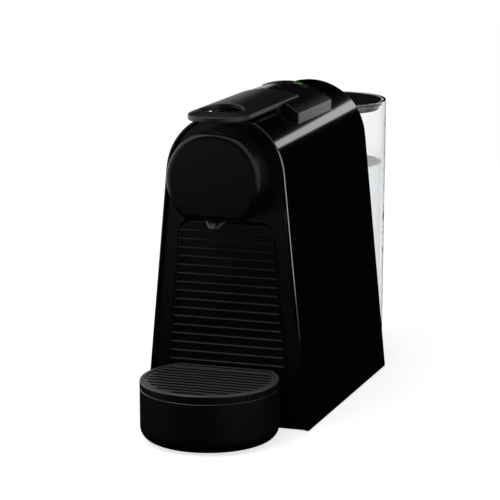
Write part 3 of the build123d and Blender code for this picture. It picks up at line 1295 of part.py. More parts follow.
# Hoses of the cold side and the hot side, each a tube along straight runs joined by arcs
HOSE_TURN = BOARD_DEPTH + HOSE_R
with BuildPart() as tank_hose:
    with BuildLine(level(0)) as tank_run:
        FilletPolyline(
            (0, STUB_DEPTH, HOSE_Z),
            (0, HOSE_TURN, HOSE_Z),
            (METER_X, HOSE_TURN, HOSE_Z),
            (METER_X, PUMP_DEPTH + METER_R, HOSE_Z),
            radius=BEND_R,
        )
    with BuildSketch(start_plane(tank_run.wire())):
        add(hose_ring())
    sweep()
tank_hose.part.label = "tank_hose"
export_step(tank_hose.part, "parts/tank_hose.step")

METER_TOP = METER_Z + METER_H + HOSE_R / 2
with BuildPart() as meter_hose:
    with BuildLine(level(0)) as meter_run:
        FilletPolyline(
            (METER_X, PUMP_DEPTH, METER_TOP),
            (METER_X, PUMP_DEPTH, PUMP_Z),
            (PUMP_X + PUMP_HALF, PUMP_DEPTH, PUMP_Z),
            radius=BEND_R,
        )
    with BuildSketch(start_plane(meter_run.wire())):
        add(hose_ring())
    sweep()
meter_hose.part.label = "meter_hose"
export_step(meter_hose.part, "parts/meter_hose.step")

PUMP_OUT_X = PUMP_X - PUMP_HALF
HEATER_TOP = HEATER_Z + HEATER_H + STUB_H
with BuildPart() as pressure_hose:
    with BuildLine(level(0)) as pressure_run:
        FilletPolyline(
            (PUMP_OUT_X, PUMP_DEPTH, PUMP_Z),
            (PUMP_OUT_X - 0.8 * BEND_R, PUMP_DEPTH, PUMP_Z),
            (PUMP_OUT_X + BEND_R / 2, PUMP_DEPTH - 1.5 * BEND_R, HEATER_TOP),
            (-HEATER_W / 4, HEATER_DEPTH, HEATER_TOP + 2 * BEND_R),
            (-HEATER_W / 4, HEATER_DEPTH, HEATER_TOP),
            radius=[TIGHT_BEND_R, BEND_R, TIGHT_BEND_R],
        )
    with BuildSketch(start_plane(pressure_run.wire())):
        add(hose_ring())
    sweep()
pressure_hose.part.label = "pressure_hose"
export_step(pressure_hose.part, "parts/pressure_hose.step")

NIPPLE_DEPTH = CAGE_BACK + HOSE_R
with BuildPart() as brew_hose:
    with BuildLine(level(0)) as brew_run:
        FilletPolyline(
            (HEATER_W / 4, HEATER_DEPTH, HEATER_TOP),
            (HEATER_W / 4, HEATER_DEPTH, HEATER_TOP + 2 * BEND_R),
            (0, NIPPLE_DEPTH + 4 * BEND_R, BREW_Z - 2 * BEND_R),
            (0, NIPPLE_DEPTH + 2 * BEND_R, BREW_Z),
            (0, NIPPLE_DEPTH, BREW_Z),
            radius=BEND_R,
        )
    with BuildSketch(start_plane(brew_run.wire())):
        add(hose_ring())
    sweep()
brew_hose.part.label = "brew_hose"
export_step(brew_hose.part, "parts/brew_hose.step")

# Board parts: relay, capacitors and terminal block on the front of the control board
with BuildPart() as board_parts:
    with BuildSketch(upright(BOARD_DEPTH)):
        with Locations((-BOARD_W / 4, BOARD_MID + BOARD_H / 4)):
            Rectangle(RELAY_W, RELAY_H)
        with Locations((BOARD_W / 4, BOARD_MID + BOARD_H / 3)):
            Rectangle(TERMINAL_W, TERMINAL_H)
    extrude(amount=RELAY_T)
    with BuildSketch(upright(BOARD_DEPTH)):
        with Locations((0, BOARD_MID + BOARD_H / 4), (BOARD_W / 5, BOARD_MID + BOARD_H / 6)):
            Circle(CAN_R)
    extrude(amount=CAN_L)
board_parts.part.label = "board_parts"
export_step(board_parts.part, "parts/board_parts.step")
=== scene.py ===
# %% [markdown]
# # A pod coffee machine, dressed for its portrait
# The machine comes from CAD as a set of named solids that already have the right size and place.
# Blender adds what CAD leaves out: how each plastic, metal and glass-clear surface takes the light,
# the water in the tank, a hose that bends, and the small symbols on the buttons.
# First the solids are loaded as a fixed frame.

# %% Load the frame
import json
import math

import bpy
import numpy as np
from mathutils import Matrix, Vector


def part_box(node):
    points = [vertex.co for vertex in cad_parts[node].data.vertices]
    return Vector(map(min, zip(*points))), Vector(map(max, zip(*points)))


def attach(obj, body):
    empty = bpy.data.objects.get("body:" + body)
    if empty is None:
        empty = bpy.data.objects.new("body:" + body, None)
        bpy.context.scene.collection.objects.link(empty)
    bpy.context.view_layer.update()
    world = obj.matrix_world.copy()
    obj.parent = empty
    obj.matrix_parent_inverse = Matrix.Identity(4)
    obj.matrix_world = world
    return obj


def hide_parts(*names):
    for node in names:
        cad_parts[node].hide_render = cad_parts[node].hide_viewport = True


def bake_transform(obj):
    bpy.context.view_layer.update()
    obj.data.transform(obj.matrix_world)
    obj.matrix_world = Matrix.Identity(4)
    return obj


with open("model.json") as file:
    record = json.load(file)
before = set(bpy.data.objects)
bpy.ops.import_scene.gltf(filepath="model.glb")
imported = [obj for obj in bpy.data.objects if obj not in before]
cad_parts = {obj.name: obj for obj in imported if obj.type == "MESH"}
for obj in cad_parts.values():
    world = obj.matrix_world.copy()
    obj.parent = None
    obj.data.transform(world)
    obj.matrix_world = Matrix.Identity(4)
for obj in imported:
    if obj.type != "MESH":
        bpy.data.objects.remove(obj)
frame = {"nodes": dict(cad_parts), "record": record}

for default_name in ("Cube", "Light", "Camera"):
    if default_name in bpy.data.objects:
        bpy.data.objects.remove(bpy.data.objects[default_name])
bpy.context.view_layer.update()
nodes = frame["nodes"]
scene = bpy.context.scene
scene.view_settings.view_transform = "Standard"

# %% [markdown]
# ## The camera
# A long lens from well back keeps the upright edges of the machine nearly parallel, as product
# photographers like it. The camera is described the way one would say it in a studio: so many degrees
# round to the right, so many up, that far away, aimed at that point. The three axes of the camera follow
# from those angles with two cross products, and a small roll turns them about the line of sight.

# %% Camera
AZIMUTH = math.radians(19.42)
ELEVATION = math.radians(11.73)
ROLL = math.radians(-0.23)
DISTANCE = 1.40539
SENSOR = 36.0
LENS = 162.1
FRAME_SHIFT = 0.0037
SHELL_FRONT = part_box("outer_shell")[0].y
AIM = Vector((0.01773, SHELL_FRONT, 0.11361))


def studio_direction(azimuth, elevation):
    """Unit vector from the machine: azimuth turns from the front to the right, elevation goes up."""
    flat = math.cos(elevation)
    return Vector((math.sin(azimuth) * flat, -math.cos(azimuth) * flat, math.sin(elevation)))


back = studio_direction(AZIMUTH, ELEVATION)
level_right = Vector((math.cos(AZIMUTH), math.sin(AZIMUTH), 0))
level_up = back.cross(level_right)
right = level_right * math.cos(ROLL) + level_up * math.sin(ROLL)
up = level_up * math.cos(ROLL) - level_right * math.sin(ROLL)
camera_data = bpy.data.cameras.new("camera")
camera_data.sensor_width = SENSOR
camera_data.lens = LENS
camera_data.shift_x = -FRAME_SHIFT
camera_data.shift_y = FRAME_SHIFT
camera = bpy.data.objects.new("camera", camera_data)
place = Matrix((right, up, back)).transposed().to_4x4()
place.translation = AIM + back * DISTANCE
camera.matrix_world = place
scene.collection.objects.link(camera)
scene.camera = camera
print("camera at", np.round(place.translation, 3).tolist())

# %% [markdown]
# ## Surfaces from two parameters
# Every new shape in this file is a grid of points: a formula of two parameters, worked out for the whole
# grid at once. One helper turns such a grid into a mesh. It joins the last column to the first where the
# shape goes round, and shades it smooth. Keeping it in one place means that a shape is only its formula.

# %% Grid helper


def grid_surface(name, grids, closed=False):
    """One mesh from arrays of rows x columns x 3; cell (i, j) of a grid joins four neighbouring points."""
    quads, first = [], 0
    for grid in grids:
        index = first + np.arange(grid.shape[0] * grid.shape[1]).reshape(grid.shape[:2])
        if closed:
            index = np.concatenate([index, index[:, :1]], axis=1)
        cells = np.stack([index[:-1, :-1], index[:-1, 1:], index[1:, 1:], index[1:, :-1]], axis=-1)
        quads.append(cells.reshape(-1, 4))
        first += grid.shape[0] * grid.shape[1]
    points = np.concatenate([grid.reshape(-1, 3) for grid in grids])
    mesh = bpy.data.meshes.new(name)
    mesh.from_pydata(points.tolist(), [], np.concatenate(quads).tolist())
    mesh.polygons.foreach_set("use_smooth", np.ones(len(mesh.polygons), dtype=bool))
    mesh.update()
    piece = bpy.data.objects.new(name, mesh)
    scene.collection.objects.link(piece)
    print(name, "points", len(points), "faces", len(mesh.polygons))
    return piece


# %% [markdown]
# ## A start for every material
# Every material starts the same way, with a node tree and a shader in it, and grows by adding nodes. Two
# small helpers take up these steps, so that a later cell only says what is special about its finish.

# %% Material helpers


def node(tree, kind, **values):
    """Add a node and set its plain properties."""
    made = tree.nodes.new(kind)
    for name, value in values.items():
        setattr(made, name, value)
    return made


def blank_material(name):
    """New material, with its node tree and its shader."""
    made = bpy.data.materials.new(name)
    made.use_nodes = True
    return made, made.node_tree, made.node_tree.nodes["Principled BSDF"]


# %% [markdown]
# ## Looking and lighting
# A white ground has to be seen without lighting the machine. The renderer knows what kind of ray meets a
# surface: one from the camera, one from a mirror, one through clear plastic, or one that gathers light.
# The first three are looks, so the largest of their three flags says whether a ray is a look.

# %% Rays that look


def seen_rays(tree):
    """1 for camera, mirrored and clear-plastic rays, 0 for light that spreads: the largest of three."""
    path = node(tree, "ShaderNodeLightPath")
    first = node(tree, "ShaderNodeMath", operation="MAXIMUM")
    second = node(tree, "ShaderNodeMath", operation="MAXIMUM")
    tree.links.new(path.outputs["Is Camera Ray"], first.inputs[0])
    tree.links.new(path.outputs["Is Glossy Ray"], first.inputs[1])
    tree.links.new(first.outputs[0], second.inputs[0])
    tree.links.new(path.outputs["Is Transmission Ray"], second.inputs[1])
    return second.outputs[0]


# %% [markdown]
# ## The floor
# The picture has a pure white ground. The floor is a disc of radius times angle, painted white, with a
# little glow that only looks can see: it lifts the lit paper to pure white, and leaves the shadow in
# place, because the glow lights nothing.

# %% Floor
FLOOR_RADIUS = 0.9
FLOOR_GLOW = 0.72
floor_radius = np.linspace(0.001, FLOOR_RADIUS, 24)[:, None]
floor_turn = np.linspace(0, 2 * np.pi, 64, endpoint=False)[None, :]
floor_x = floor_radius * np.cos(floor_turn)
floor_y = floor_radius * np.sin(floor_turn)
floor = grid_surface("floor", [np.stack([floor_x, floor_y, 0 * floor_x], -1)], closed=True)
floor_finish, tree, paint = blank_material("white_sweep")
paint.inputs["Base Color"].default_value = (0.8, 0.8, 0.8, 1)
paint.inputs["Roughness"].default_value = 0.9
paint.inputs["Emission Color"].default_value = (1, 1, 1, 1)
glow = node(tree, "ShaderNodeMath", operation="MULTIPLY")
glow.inputs[1].default_value = FLOOR_GLOW
tree.links.new(seen_rays(tree), glow.inputs[0])
tree.links.new(glow.outputs[0], paint.inputs["Emission Strength"])
floor.data.materials.append(floor_finish)

# %% [markdown]
# ## The world
# The world is the white room round the machine. Looked at straight, in a mirror or through clear plastic
# it is plain white. As a light it is a soft grey, so that a white wall doesn't wash out the colours.

# %% World
world = bpy.data.worlds.new("studio")
world.use_nodes = True
scene.world = world
tree = world.node_tree
sweep = node(tree, "ShaderNodeMix", data_type="RGBA")
sweep.inputs["A"].default_value = (0.35, 0.36, 0.38, 1)
sweep.inputs["B"].default_value = (1, 1, 1, 1)
tree.links.new(seen_rays(tree), sweep.inputs["Factor"])
tree.links.new(sweep.outputs["Result"], tree.nodes["Background"].inputs["Color"])
print("world white to the eye, grey as a light")

# %% [markdown]
# ## Black cards
# Black plastic has hardly any colour of its own: what one sees on it is what it mirrors. In a white room
# it would look grey, so a photographer sets up black cards wherever the plastic should stay black, and
# leaves gaps where it should shine. The cards here are grids of two straight edges that only mirrored rays
# meet: three high behind, one low behind on the right, one behind the camera and two on the table. The gap
# between high and low card is the bright line along the shoulder of the arch, and the white wall that is
# left below the other two shades the lever from light to dark.

# %% Cards
card_finish, tree, paint = blank_material("black_card")
paint.inputs["Base Color"].default_value = (0.002, 0.002, 0.002, 1)
paint.inputs["Roughness"].default_value = 1.0
paint.inputs["Specular IOR Level"].default_value = 0.0


def black_card(name, corner, along, across):
    """Flat card: corner + s x along + t x across, with s and t from 0 to 1."""
    share = np.linspace(0, 1, 2)
    plan = np.array(corner) + share[:, None, None] * np.array(along) + share[None, :, None] * np.array(across)
    card = grid_surface(name, [plan])
    card.data.materials.append(card_finish)
    card.visible_camera = False
    card.visible_diffuse = False
    card.visible_transmission = False
    card.visible_shadow = False


black_card("high_card", (0.0, 1.75, 0.665), (2.2, 0, 0), (0, 0, 2.2))
black_card("left_card", (-2.2, 1.75, 0.43), (1.58, 0, 0), (0, 0, 2.435))
black_card("middle_card", (-0.62, 1.75, 0.12), (0.62, 0, 0), (0, 0, 2.745))
black_card("front_card", (-2.2, -2.0, 0.0), (3.6, 0, 0), (0, 0, 3.0))
black_card("low_card", (0.10, 1.75, 0.0), (2.0, 0, 0), (0, 0, 0.535))
black_card("table_card", (-0.45, -1.3, 0.0008), (0.97, 0, 0), (0, 3.0, 0))
black_card("side_card", (0.52, 0.25, 0.0008), (1.2, 0, 0), (0, 1.5, 0))

# %% [markdown]
# ## The lamps
# One lamp from above and the fill from the room light everything, evenly. The others each draw one
# reflection: a long strip behind brightens the line along the shoulder, panels at both sides draw the thin
# lines on the lips of the shell, and a kicker finds the sides of the lever and the block. A photographer
# keeps such lamps off the rest with screens; here a lamp has a list of the pieces that it lights.

# %% Lamps
MACHINE_MIDDLE = Vector((0, 0, 0.11))


def softbox(name, position, width, height, radiance, pieces=()):
    """Rectangular lamp facing the machine, unseen by the camera; power is pi x radiance x area."""
    lamp_data = bpy.data.lights.new(name, "AREA")
    lamp_data.shape = "RECTANGLE"
    lamp_data.size = width
    lamp_data.size_y = height
    lamp_data.energy = math.pi * radiance * width * height
    lamp = bpy.data.objects.new(name, lamp_data)
    lamp.location = position
    lamp.rotation_euler = (MACHINE_MIDDLE - Vector(position)).to_track_quat("-Z", "Y").to_euler()
    lamp.visible_camera = False
    scene.collection.objects.link(lamp)
    if pieces:
        lit = bpy.data.collections.new(name + "_pieces")
        for piece in pieces:
            lit.objects.link(nodes[piece])
        lamp.light_linking.receiver_collection = lit
    print(name, "power", round(lamp_data.energy, 2), "lights", pieces or "everything")


softbox("shoulder_strip", (0.40, 1.40, 0.52), 1.1, 0.10, 1.15, ("outer_shell",))
softbox("right_lip_panel", (1.10, -0.60, 0.26), 1.1, 0.8, 8.0, ("outer_shell",))
softbox("left_lip_panel", (-1.15, 0.62, 0.20), 1.0, 0.8, 3.0, ("outer_shell",))
softbox("kicker", (0.39, 1.13, 0.03), 0.7, 0.5, 0.9, ("lever", "control_block"))
softbox("overhead", (-0.5, -0.7, 1.5), 1.2, 1.2, 1.8)

# %% [markdown]
# ## One recipe for moulded plastic
# Moulded plastic is never quite even: the tool leaves a fine grain, and handling leaves faint hazy
# patches. Both come from noise in the piece's own coordinates, so they stay put when a piece moves.
# Many finishes share this, so it is a node group with its own inputs: two tints, a roughness with a
# spread, and the size of the grain. Each material then feeds the results to its own shader.

# %% Moulded plastic group


def group_sockets(group, inputs, outputs):
    """Declare a node group's sockets from (name, type, default) rows."""
    for name, kind, default in inputs:
        group.interface.new_socket(name, in_out="INPUT", socket_type=kind).default_value = default
    for name, kind in outputs:
        group.interface.new_socket(name, in_out="OUTPUT", socket_type=kind)


FLOAT = "NodeSocketFloat"
COLOUR = "NodeSocketColor"
moulded = bpy.data.node_groups.new("moulded_plastic", "ShaderNodeTree")
group_sockets(
    moulded,
    [
        ("Tint", COLOUR, (0.01, 0.01, 0.01, 1)),
        ("Haze tint", COLOUR, (0.012, 0.012, 0.012, 1)),
        ("Roughness", FLOAT, 0.4),
        ("Spread", FLOAT, 0.05),
        ("Grain scale", FLOAT, 1500.0),
        ("Haze scale", FLOAT, 30.0),
    ],
    [("Colour", COLOUR), ("Roughness", FLOAT), ("Grain", FLOAT)],
)
entry = node(moulded, "NodeGroupInput")
leave = node(moulded, "NodeGroupOutput")
place_on_piece = node(moulded, "ShaderNodeTexCoord")
haze = node(moulded, "ShaderNodeTexNoise")
haze.inputs["Detail"].default_value = 3.0
grain = node(moulded, "ShaderNodeTexNoise")
grain.inputs["Detail"].default_value = 1.0
tint = node(moulded, "ShaderNodeMix", data_type="RGBA")
centred = node(moulded, "ShaderNodeMath", operation="SUBTRACT")
centred.inputs[1].default_value = 0.5
spread = node(moulded, "ShaderNodeMath", operation="MULTIPLY_ADD")
join = moulded.links.new
join(place_on_piece.outputs["Object"], haze.inputs["Vector"])
join(place_on_piece.outputs["Object"], grain.inputs["Vector"])
join(entry.outputs["Haze scale"], haze.inputs["Scale"])
join(entry.outputs["Grain scale"], grain.inputs["Scale"])
join(haze.outputs["Fac"], tint.inputs["Factor"])
join(entry.outputs["Tint"], tint.inputs["A"])
join(entry.outputs["Haze tint"], tint.inputs["B"])
join(haze.outputs["Fac"], centred.inputs[0])
join(centred.outputs[0], spread.inputs[0])
join(entry.outputs["Spread"], spread.inputs[1])
join(entry.outputs["Roughness"], spread.inputs[2])
join(tint.outputs["Result"], leave.inputs["Colour"])
join(spread.outputs[0], leave.inputs["Roughness"])
join(grain.outputs["Fac"], leave.inputs["Grain"])
print("moulded plastic group with", len(moulded.nodes), "nodes")


def moulded_node(tree, tint, haze_tint):
    """The group placed in a material, with its two tints filled in."""
    recipe = node(tree, "ShaderNodeGroup", node_tree=moulded)
    recipe.inputs["Tint"].default_value = (*tint, 1)
    recipe.inputs["Haze tint"].default_value = (*haze_tint, 1)
    return recipe


# %% [markdown]
# ## Painted highlight on upper faces
# In the photograph a thin light line runs along each rib under the head and each bar of the cup grid. Here
# it is a painted highlight: where the surface faces up, the colour goes over to a lighter one. The upward
# part of the normal decides, so the painted highlight stays there under any light. Two finishes share it,
# so it is a group as well.

# %% Upper faces group
upper = bpy.data.node_groups.new("painted_top_highlight", "ShaderNodeTree")
group_sockets(
    upper,
    [("Tint", COLOUR, (0.01, 0.01, 0.01, 1)), ("Painted highlight tint", COLOUR, (0.05, 0.05, 0.05, 1))],
    [("Colour", COLOUR)],
)
entry = node(upper, "NodeGroupInput")
leave = node(upper, "NodeGroupOutput")
facing = node(upper, "ShaderNodeTexCoord")
parts = node(upper, "ShaderNodeSeparateXYZ")
# painted highlight: the share of the normal that points up moves the colour to the lighter tint
rise = node(upper, "ShaderNodeMapRange", interpolation_type="SMOOTHSTEP")
rise.inputs["From Min"].default_value = 0.3
rise.inputs["From Max"].default_value = 0.9
blend = node(upper, "ShaderNodeMix", data_type="RGBA")
join = upper.links.new
join(facing.outputs["Normal"], parts.inputs["Vector"])
join(parts.outputs["Z"], rise.inputs["Value"])
join(rise.outputs["Result"], blend.inputs["Factor"])
join(entry.outputs["Tint"], blend.inputs["A"])
join(entry.outputs["Painted highlight tint"], blend.inputs["B"])
join(blend.outputs["Result"], leave.inputs["Colour"])
print("upper faces group with", len(upper.nodes), "nodes")

# %% [markdown]
# ## Plastic, rubber and metal
# A finish is the recipe with its numbers filled in. The shell is polished like piano lacquer, so its
# roughness is low and it has almost no grain. Lever, disc and tray come from a tool with a fine matt
# texture. Metals use their tint as the colour of the mirror. All of them differ only in the first table:
# two tints, roughness and its spread, scale and depth of the grain. The second has the rarer numbers.

# %% Plastic, rubber and metal finishes
SOLID_IOR = 1.46


def finish(name, tint, haze_tint, roughness, spread, grain_scale, grain_depth, **extra):
    """Material whose colour, roughness and fine bump come from the moulded group."""
    made, tree, shader = blank_material(name + "_finish")
    shader.inputs["Metallic"].default_value = extra.get("metallic", 0.0)
    shader.inputs["Specular IOR Level"].default_value = extra.get("shine", 0.5)
    shader.inputs["IOR"].default_value = SOLID_IOR
    recipe = moulded_node(tree, tint, haze_tint)
    recipe.inputs["Roughness"].default_value = roughness
    recipe.inputs["Spread"].default_value = spread
    recipe.inputs["Grain scale"].default_value = grain_scale
    colour = recipe.outputs["Colour"]
    # painted highlight: upper faces get a lighter tint that stands in for the light they catch
    if "painted_highlight_tint" in extra:
        lighter = node(tree, "ShaderNodeGroup", node_tree=upper)
        lighter.inputs["Painted highlight tint"].default_value = (*extra["painted_highlight_tint"], 1)
        tree.links.new(colour, lighter.inputs["Tint"])
        colour = lighter.outputs["Colour"]
    bump = node(tree, "ShaderNodeBump")
    bump.inputs["Strength"].default_value = 1.0
    bump.inputs["Distance"].default_value = grain_depth
    tree.links.new(colour, shader.inputs["Base Color"])
    tree.links.new(recipe.outputs["Roughness"], shader.inputs["Roughness"])
    tree.links.new(recipe.outputs["Grain"], bump.inputs["Height"])
    tree.links.new(bump.outputs["Normal"], shader.inputs["Normal"])
    return made


TABLE = {
    "gloss_black": ((0.0004, 0.0004, 0.0005), (0.0006, 0.0006, 0.0007), 0.075, 0.02, 400, 0.0000002),
    "satin_black": ((0.0015, 0.0016, 0.0020), (0.0020, 0.0021, 0.0026), 0.31, 0.03, 2500, 0.000002),
    "disc_black": ((0.0008, 0.0012, 0.0030), (0.0010, 0.0014, 0.0036), 0.28, 0.03, 2600, 0.000002),
    "block_black": ((0.0034, 0.0036, 0.0044), (0.0040, 0.0042, 0.0052), 0.22, 0.02, 2600, 0.000001),
    "lever_black": ((0.0036, 0.0040, 0.0050), (0.0042, 0.0046, 0.0056), 0.35, 0.02, 2600, 0.000001),
    "inner_plastic": ((0.010, 0.010, 0.011), (0.013, 0.013, 0.014), 0.50, 0.08, 2000, 0.000006),
    "button_dark": ((0.006, 0.006, 0.007), (0.007, 0.007, 0.008), 0.30, 0.05, 2500, 0.000003),
    "charcoal": ((0.011, 0.011, 0.013), (0.014, 0.014, 0.016), 0.45, 0.06, 2200, 0.000006),
    "white_plastic": ((0.62, 0.62, 0.60), (0.68, 0.68, 0.66), 0.45, 0.08, 1800, 0.000006),
    "rubber": ((0.012, 0.012, 0.012), (0.018, 0.018, 0.018), 0.80, 0.10, 1500, 0.00001),
    "hose": ((0.62, 0.62, 0.60), (0.70, 0.70, 0.68), 0.40, 0.10, 1200, 0.000006),
    "steel": ((0.52, 0.52, 0.53), (0.58, 0.58, 0.59), 0.28, 0.12, 3000, 0.000003),
    "cast_aluminium": ((0.55, 0.56, 0.57), (0.66, 0.67, 0.68), 0.50, 0.15, 900, 0.00004),
    "winding": ((0.36, 0.15, 0.06), (0.46, 0.22, 0.10), 0.42, 0.12, 1100, 0.00002),
    "board": ((0.020, 0.12, 0.05), (0.026, 0.15, 0.065), 0.35, 0.08, 1500, 0.000004),
    "board_parts": ((0.02, 0.02, 0.03), (0.03, 0.03, 0.04), 0.40, 0.08, 1800, 0.000006),
    "rib_black": ((0.002, 0.002, 0.0025), (0.003, 0.003, 0.0035), 0.25, 0.02, 2500, 0.000002),
    "grid_black": ((0.002, 0.002, 0.0025), (0.003, 0.003, 0.0035), 0.30, 0.02, 2500, 0.000002),
    "lid_black": ((0.0030, 0.0034, 0.0044), (0.0036, 0.0040, 0.0052), 0.35, 0.02, 2500, 0.000002),
}
EXTRA = {
    "steel": {"metallic": 1.0},
    "cast_aluminium": {"metallic": 1.0},
    "disc_black": {"shine": 0.3},
    # ribs and grid bars: the lighter tint of their upper faces is a painted highlight
    "rib_black": {"painted_highlight_tint": (0.12, 0.12, 0.13)},
    "grid_black": {"painted_highlight_tint": (0.07, 0.07, 0.077)},
    "lid_black": {"shine": 0.2},
}
FINISHES = {name: finish(name, *numbers, **EXTRA.get(name, {})) for name, numbers in TABLE.items()}
print("finishes", sorted(FINISHES))

# %% [markdown]
# ## Clear plastic and water
# The tank is injection-moulded clear plastic with real wall thickness, so an ordinary refracting shader
# gives the grey edges by itself. Clear plastic is polished in the tool and water has no grain at all, so
# neither has a bump; the recipe only gives them the faint unevenness of their tint.

# %% Clear finishes
CLEAR_PLASTIC_IOR = 1.49
WATER_IOR = 1.333


def clear_finish(name, tint, haze_tint, ior):
    """Refracting material whose tint comes from the moulded group."""
    made, tree, shader = blank_material(name + "_finish")
    shader.inputs["Transmission Weight"].default_value = 1.0
    shader.inputs["Roughness"].default_value = 0.0
    shader.inputs["IOR"].default_value = ior
    recipe = moulded_node(tree, tint, haze_tint)
    tree.links.new(recipe.outputs["Colour"], shader.inputs["Base Color"])
    return made


tank_finish = clear_finish("clear_plastic", (0.96, 0.97, 0.97), (0.98, 0.985, 0.985), CLEAR_PLASTIC_IOR)
water_finish = clear_finish("water", (0.76, 0.765, 0.77), (0.78, 0.785, 0.79), WATER_IOR)
FINISHES["clear_plastic"] = tank_finish
print("clear finishes", tank_finish.name, water_finish.name)

# %% [markdown]
# ## Dressing the pieces
# Each piece of the machine names its kind of material in its record, so one loop dresses them all. A few
# get a finish of their own: the block is a touch glossier than the lever, the ribs and the grid have a
# painted highlight on their upper faces, the lid mirrors less than its neighbours, and the spout is as dark
# as the head.

# %% Every piece gets its finish
for row in frame["record"]["subparts"]:
    part = nodes[row["node"]]
    part.data.materials.clear()
    part.data.materials.append(FINISHES[row["material_slot"]])
OWN_FINISH = {
    "control_block": "block_black",
    "grille_front": "rib_black",
    "cup_grid": "grid_black",
    "coffee_spout": "satin_black",
    "tank_lid": "lid_black",
}
for piece, name in OWN_FINISH.items():
    nodes[piece].data.materials[0] = FINISHES[name]

# %% [markdown]
# ## Water in the tank
# The water stands a hair inside the walls, because two touching refracting faces would flicker. Its
# outline is the tank's own: a circle with its front cut flat, a little narrower towards the foot.

# %% Outline of the water
TANK_WALL = 0.0022
TANK_FLOOR = 0.003
TANK_TAPER = 0.0015
TANK_FOOT_Z = 0.0142
WATER_GAP = 0.0003
WATER_TOP = 0.137
tank_low, tank_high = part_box("water_tank")
tank_radius = (tank_high.x - tank_low.x) / 2
tank_axis_y = tank_high.y - tank_radius
water_front = tank_low.y + TANK_WALL + WATER_GAP
water_z = np.linspace(TANK_FOOT_Z + TANK_FLOOR + WATER_GAP, WATER_TOP, 8)
water_radius = tank_radius - TANK_WALL - WATER_GAP
water_radius = water_radius - TANK_TAPER * (tank_high.z - water_z) / (tank_high.z - TANK_FOOT_Z)


def water_outline(radius):
    """Arc (radius, turn) about the tank's axis from corner to corner, then the straight front."""
    corner = np.arcsin((water_front - tank_axis_y) / radius)
    turn = corner + (np.pi - 2 * corner) * np.linspace(0, 1, 140)
    arc = np.stack([radius * np.cos(turn), tank_axis_y + radius * np.sin(turn)], -1)
    reach = radius * np.cos(corner) * np.linspace(-1, 1, 24)
    front = np.stack([reach, np.full_like(reach, water_front)], -1)
    return arc, front


outlines = [water_outline(radius) for radius in water_radius]
print("water radius", np.round(water_radius[[0, -1]] * 1000, 2), "mm at foot and top")

# %% [markdown]
# ## The skin of the water
# Wall, flat front, top and floor are separate grids that meet at sharp edges, so the shading of one doesn't
# run into the next. The wall stacks the outlines, one for each height. Top and floor take one outline and
# shrink it towards the axis, so the same two helpers make all four.

# %% Water


def at_height(outlines, heights):
    """Stack plan outlines into rows x columns x 3, one row for each height."""
    plan = np.stack(outlines)
    rise = np.broadcast_to(np.asarray(heights)[:, None, None], (*plan.shape[:2], 1))
    return np.concatenate([plan, rise], -1)


def water_lid(outline, height, shares):
    """Outline shrunk towards the axis by each share, all at one height."""
    middle = np.array([0, tank_axis_y])
    return at_height([middle + (outline - middle) * share for share in shares], [height] * len(shares))


wall = at_height([arc for arc, front in outlines], water_z)
flat = at_height([front for arc, front in outlines], water_z)
surface = water_lid(np.concatenate(outlines[-1]), water_z[-1], (1.0, 0.6, 0.3, 0.001))
bottom = water_lid(np.concatenate(outlines[0]), water_z[0], (0.001, 0.5, 1.0))
water = grid_surface("water", [wall, flat, surface, bottom])
water.data.materials.append(water_finish)
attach(water, "tank")

# %% [markdown]
# ## A hose that bends
# The brew hose joins the fixed heater to the capsule cage, which slides when the lever is lifted. Such a
# hose is a soft tube that gives way in an arc. So it is drawn here as a circle along a smooth path. It
# takes the place of the stiff solid, whose ends it shares.

# %% Brew hose
HOSE_RADIUS = 0.003
START_PULL = np.array([0, 0, 0.02])
END_PULL = np.array([0, 0.006, -0.022])
hose_low, hose_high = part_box("brew_hose")
hose_start = np.array([hose_high.x - HOSE_RADIUS, hose_high.y - HOSE_RADIUS, hose_low.z])
hose_end = np.array([0.0, hose_low.y, hose_high.z - HOSE_RADIUS])


def soft_tube(start, start_pull, end, end_pull, radius):
    """Circle of radius round a cubic path: start, two pulled points and end, by Bernstein shares."""
    share = np.linspace(0, 1, 48)[:, None]
    points = [start, start + start_pull, end + end_pull, end]
    weights = [(1 - share) ** 3, 3 * share * (1 - share) ** 2, 3 * share**2 * (1 - share), share**3]
    path = sum(weight * point for weight, point in zip(weights, points))
    along = np.gradient(path, axis=0)
    along = along / np.linalg.norm(along, axis=1, keepdims=True)
    side = np.array([1.0, 0, 0]) - along * along[:, :1]
    side = side / np.linalg.norm(side, axis=1, keepdims=True)
    lift = np.cross(along, side)
    turn = np.linspace(0, 2 * np.pi, 20, endpoint=False)
    ring = side[:, None] * np.cos(turn)[None, :, None] + lift[:, None] * np.sin(turn)[None, :, None]
    print("hose length", round(float(np.linalg.norm(np.diff(path, axis=0), axis=1).sum()) * 1000, 1), "mm")
    return path[:, None] + radius * ring


hose_grid = soft_tube(hose_start, START_PULL, hose_end, END_PULL, HOSE_RADIUS)
hose = grid_surface("soft_brew_hose", [hose_grid], closed=True)
hose.data.materials.append(FINISHES["hose"])
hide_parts("brew_hose")
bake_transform(hose)

# %% [markdown]
# ## Lines on a crowned button
# The symbols on the buttons are drawn with ribbons. A path is offset to both sides by half the width of the
# line, and every point is lifted onto the crowned top of the button, which is part of a cylinder. So a line
# lies there as a printed foil would.

# %% Ribbons
CROWN = 0.0449
BUTTON_RISE = 0.0005
LINE_WIDTH = 0.0007
FOIL_LIFT = 0.00004
crown_axis_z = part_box("control_block")[1].z + BUTTON_RISE - CROWN
print("crown axis at", round(crown_axis_z * 1000, 2), "mm")


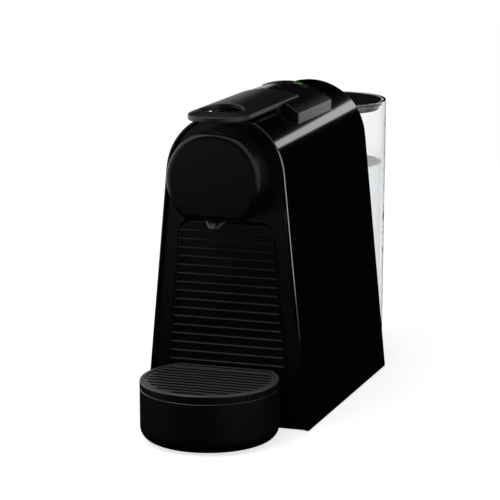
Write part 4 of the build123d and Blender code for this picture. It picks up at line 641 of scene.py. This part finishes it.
def ribbon(x, y):
    """Two edges beside a plan path, half a line width away, at z = axis + sqrt(crown^2 - x^2) + lift."""
    along = np.stack([np.gradient(x), np.gradient(y)])
    aside = np.stack([-along[1], along[0]]) / np.hypot(*along) * LINE_WIDTH / 2
    edge_x = x[:, None] + aside[0][:, None] * np.array([[1, -1]])
    edge_y = y[:, None] + aside[1][:, None] * np.array([[1, -1]])
    return np.stack([edge_x, edge_y, crown_axis_z + np.sqrt(CROWN**2 - edge_x**2) + FOIL_LIFT], axis=-1)


# %% [markdown]
# ## Windows for the light
# A symbol is a window in the plastic with a green lamp under it. The photograph shows one of the two, and
# it is lit; the other stays dark here. The tint of the window is also the colour of its light, and the
# lamp's strength is a plain number on the shader.

# %% Window finishes


def window_finish(name, tint, haze_tint, glow):
    """Tinted window in the plastic; glow is how strongly its own lamp shines through."""
    made, tree, shader = blank_material(name + "_finish")
    recipe = moulded_node(tree, tint, haze_tint)
    shader.inputs["Emission Strength"].default_value = glow
    tree.links.new(recipe.outputs["Colour"], shader.inputs["Base Color"])
    tree.links.new(recipe.outputs["Colour"], shader.inputs["Emission Color"])
    tree.links.new(recipe.outputs["Roughness"], shader.inputs["Roughness"])
    return made


lit_window = window_finish("lit_window", (0.05, 0.24, 0.03), (0.08, 0.34, 0.05), 1.0)
unlit_window = window_finish("unlit_window", (0.012, 0.016, 0.012), (0.016, 0.02, 0.016), 0.0)
print("windows", lit_window.name, unlit_window.name)

# %% [markdown]
# ## Cups on the buttons
# Each button carries the outline of a cup: a small one for the short drink, a larger one for the long drink.
# Bowl, rim and handle are three ribbons in one piece, which rides on its button.

# %% Button symbols
RIM_SHARE = 0.45


def cup_symbol(name, button, width, depth, material):
    """Bowl: half an ellipse; rim: a line across; handle: an arc beside the bowl."""
    low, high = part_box(button)
    x, y = (low.x + high.x) / 2, (low.y + high.y) / 2
    turn = np.linspace(0, np.pi, 40)
    bowl = ribbon(x - width * np.cos(turn), y + depth * (RIM_SHARE - np.sin(turn)))
    rim = ribbon(x + width * np.linspace(-1, 1, 12), np.full(12, y + RIM_SHARE * depth))
    arc = np.linspace(0.45 * np.pi, -0.55 * np.pi, 24)
    handle = ribbon(x + width * (0.95 + 0.45 * np.cos(arc)), y + depth * (0.1 + 0.3 * np.sin(arc)))
    symbol = grid_surface(name, [bowl, rim, handle])
    symbol.data.materials.append(material)
    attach(symbol, button)


cup_symbol("short_drink_symbol", "button_left", 0.0017, 0.0032, unlit_window)
cup_symbol("long_drink_symbol", "button_right", 0.0022, 0.0042, lit_window)

# %% [markdown]
# ## The end

# %% End
print("end of the scene script")
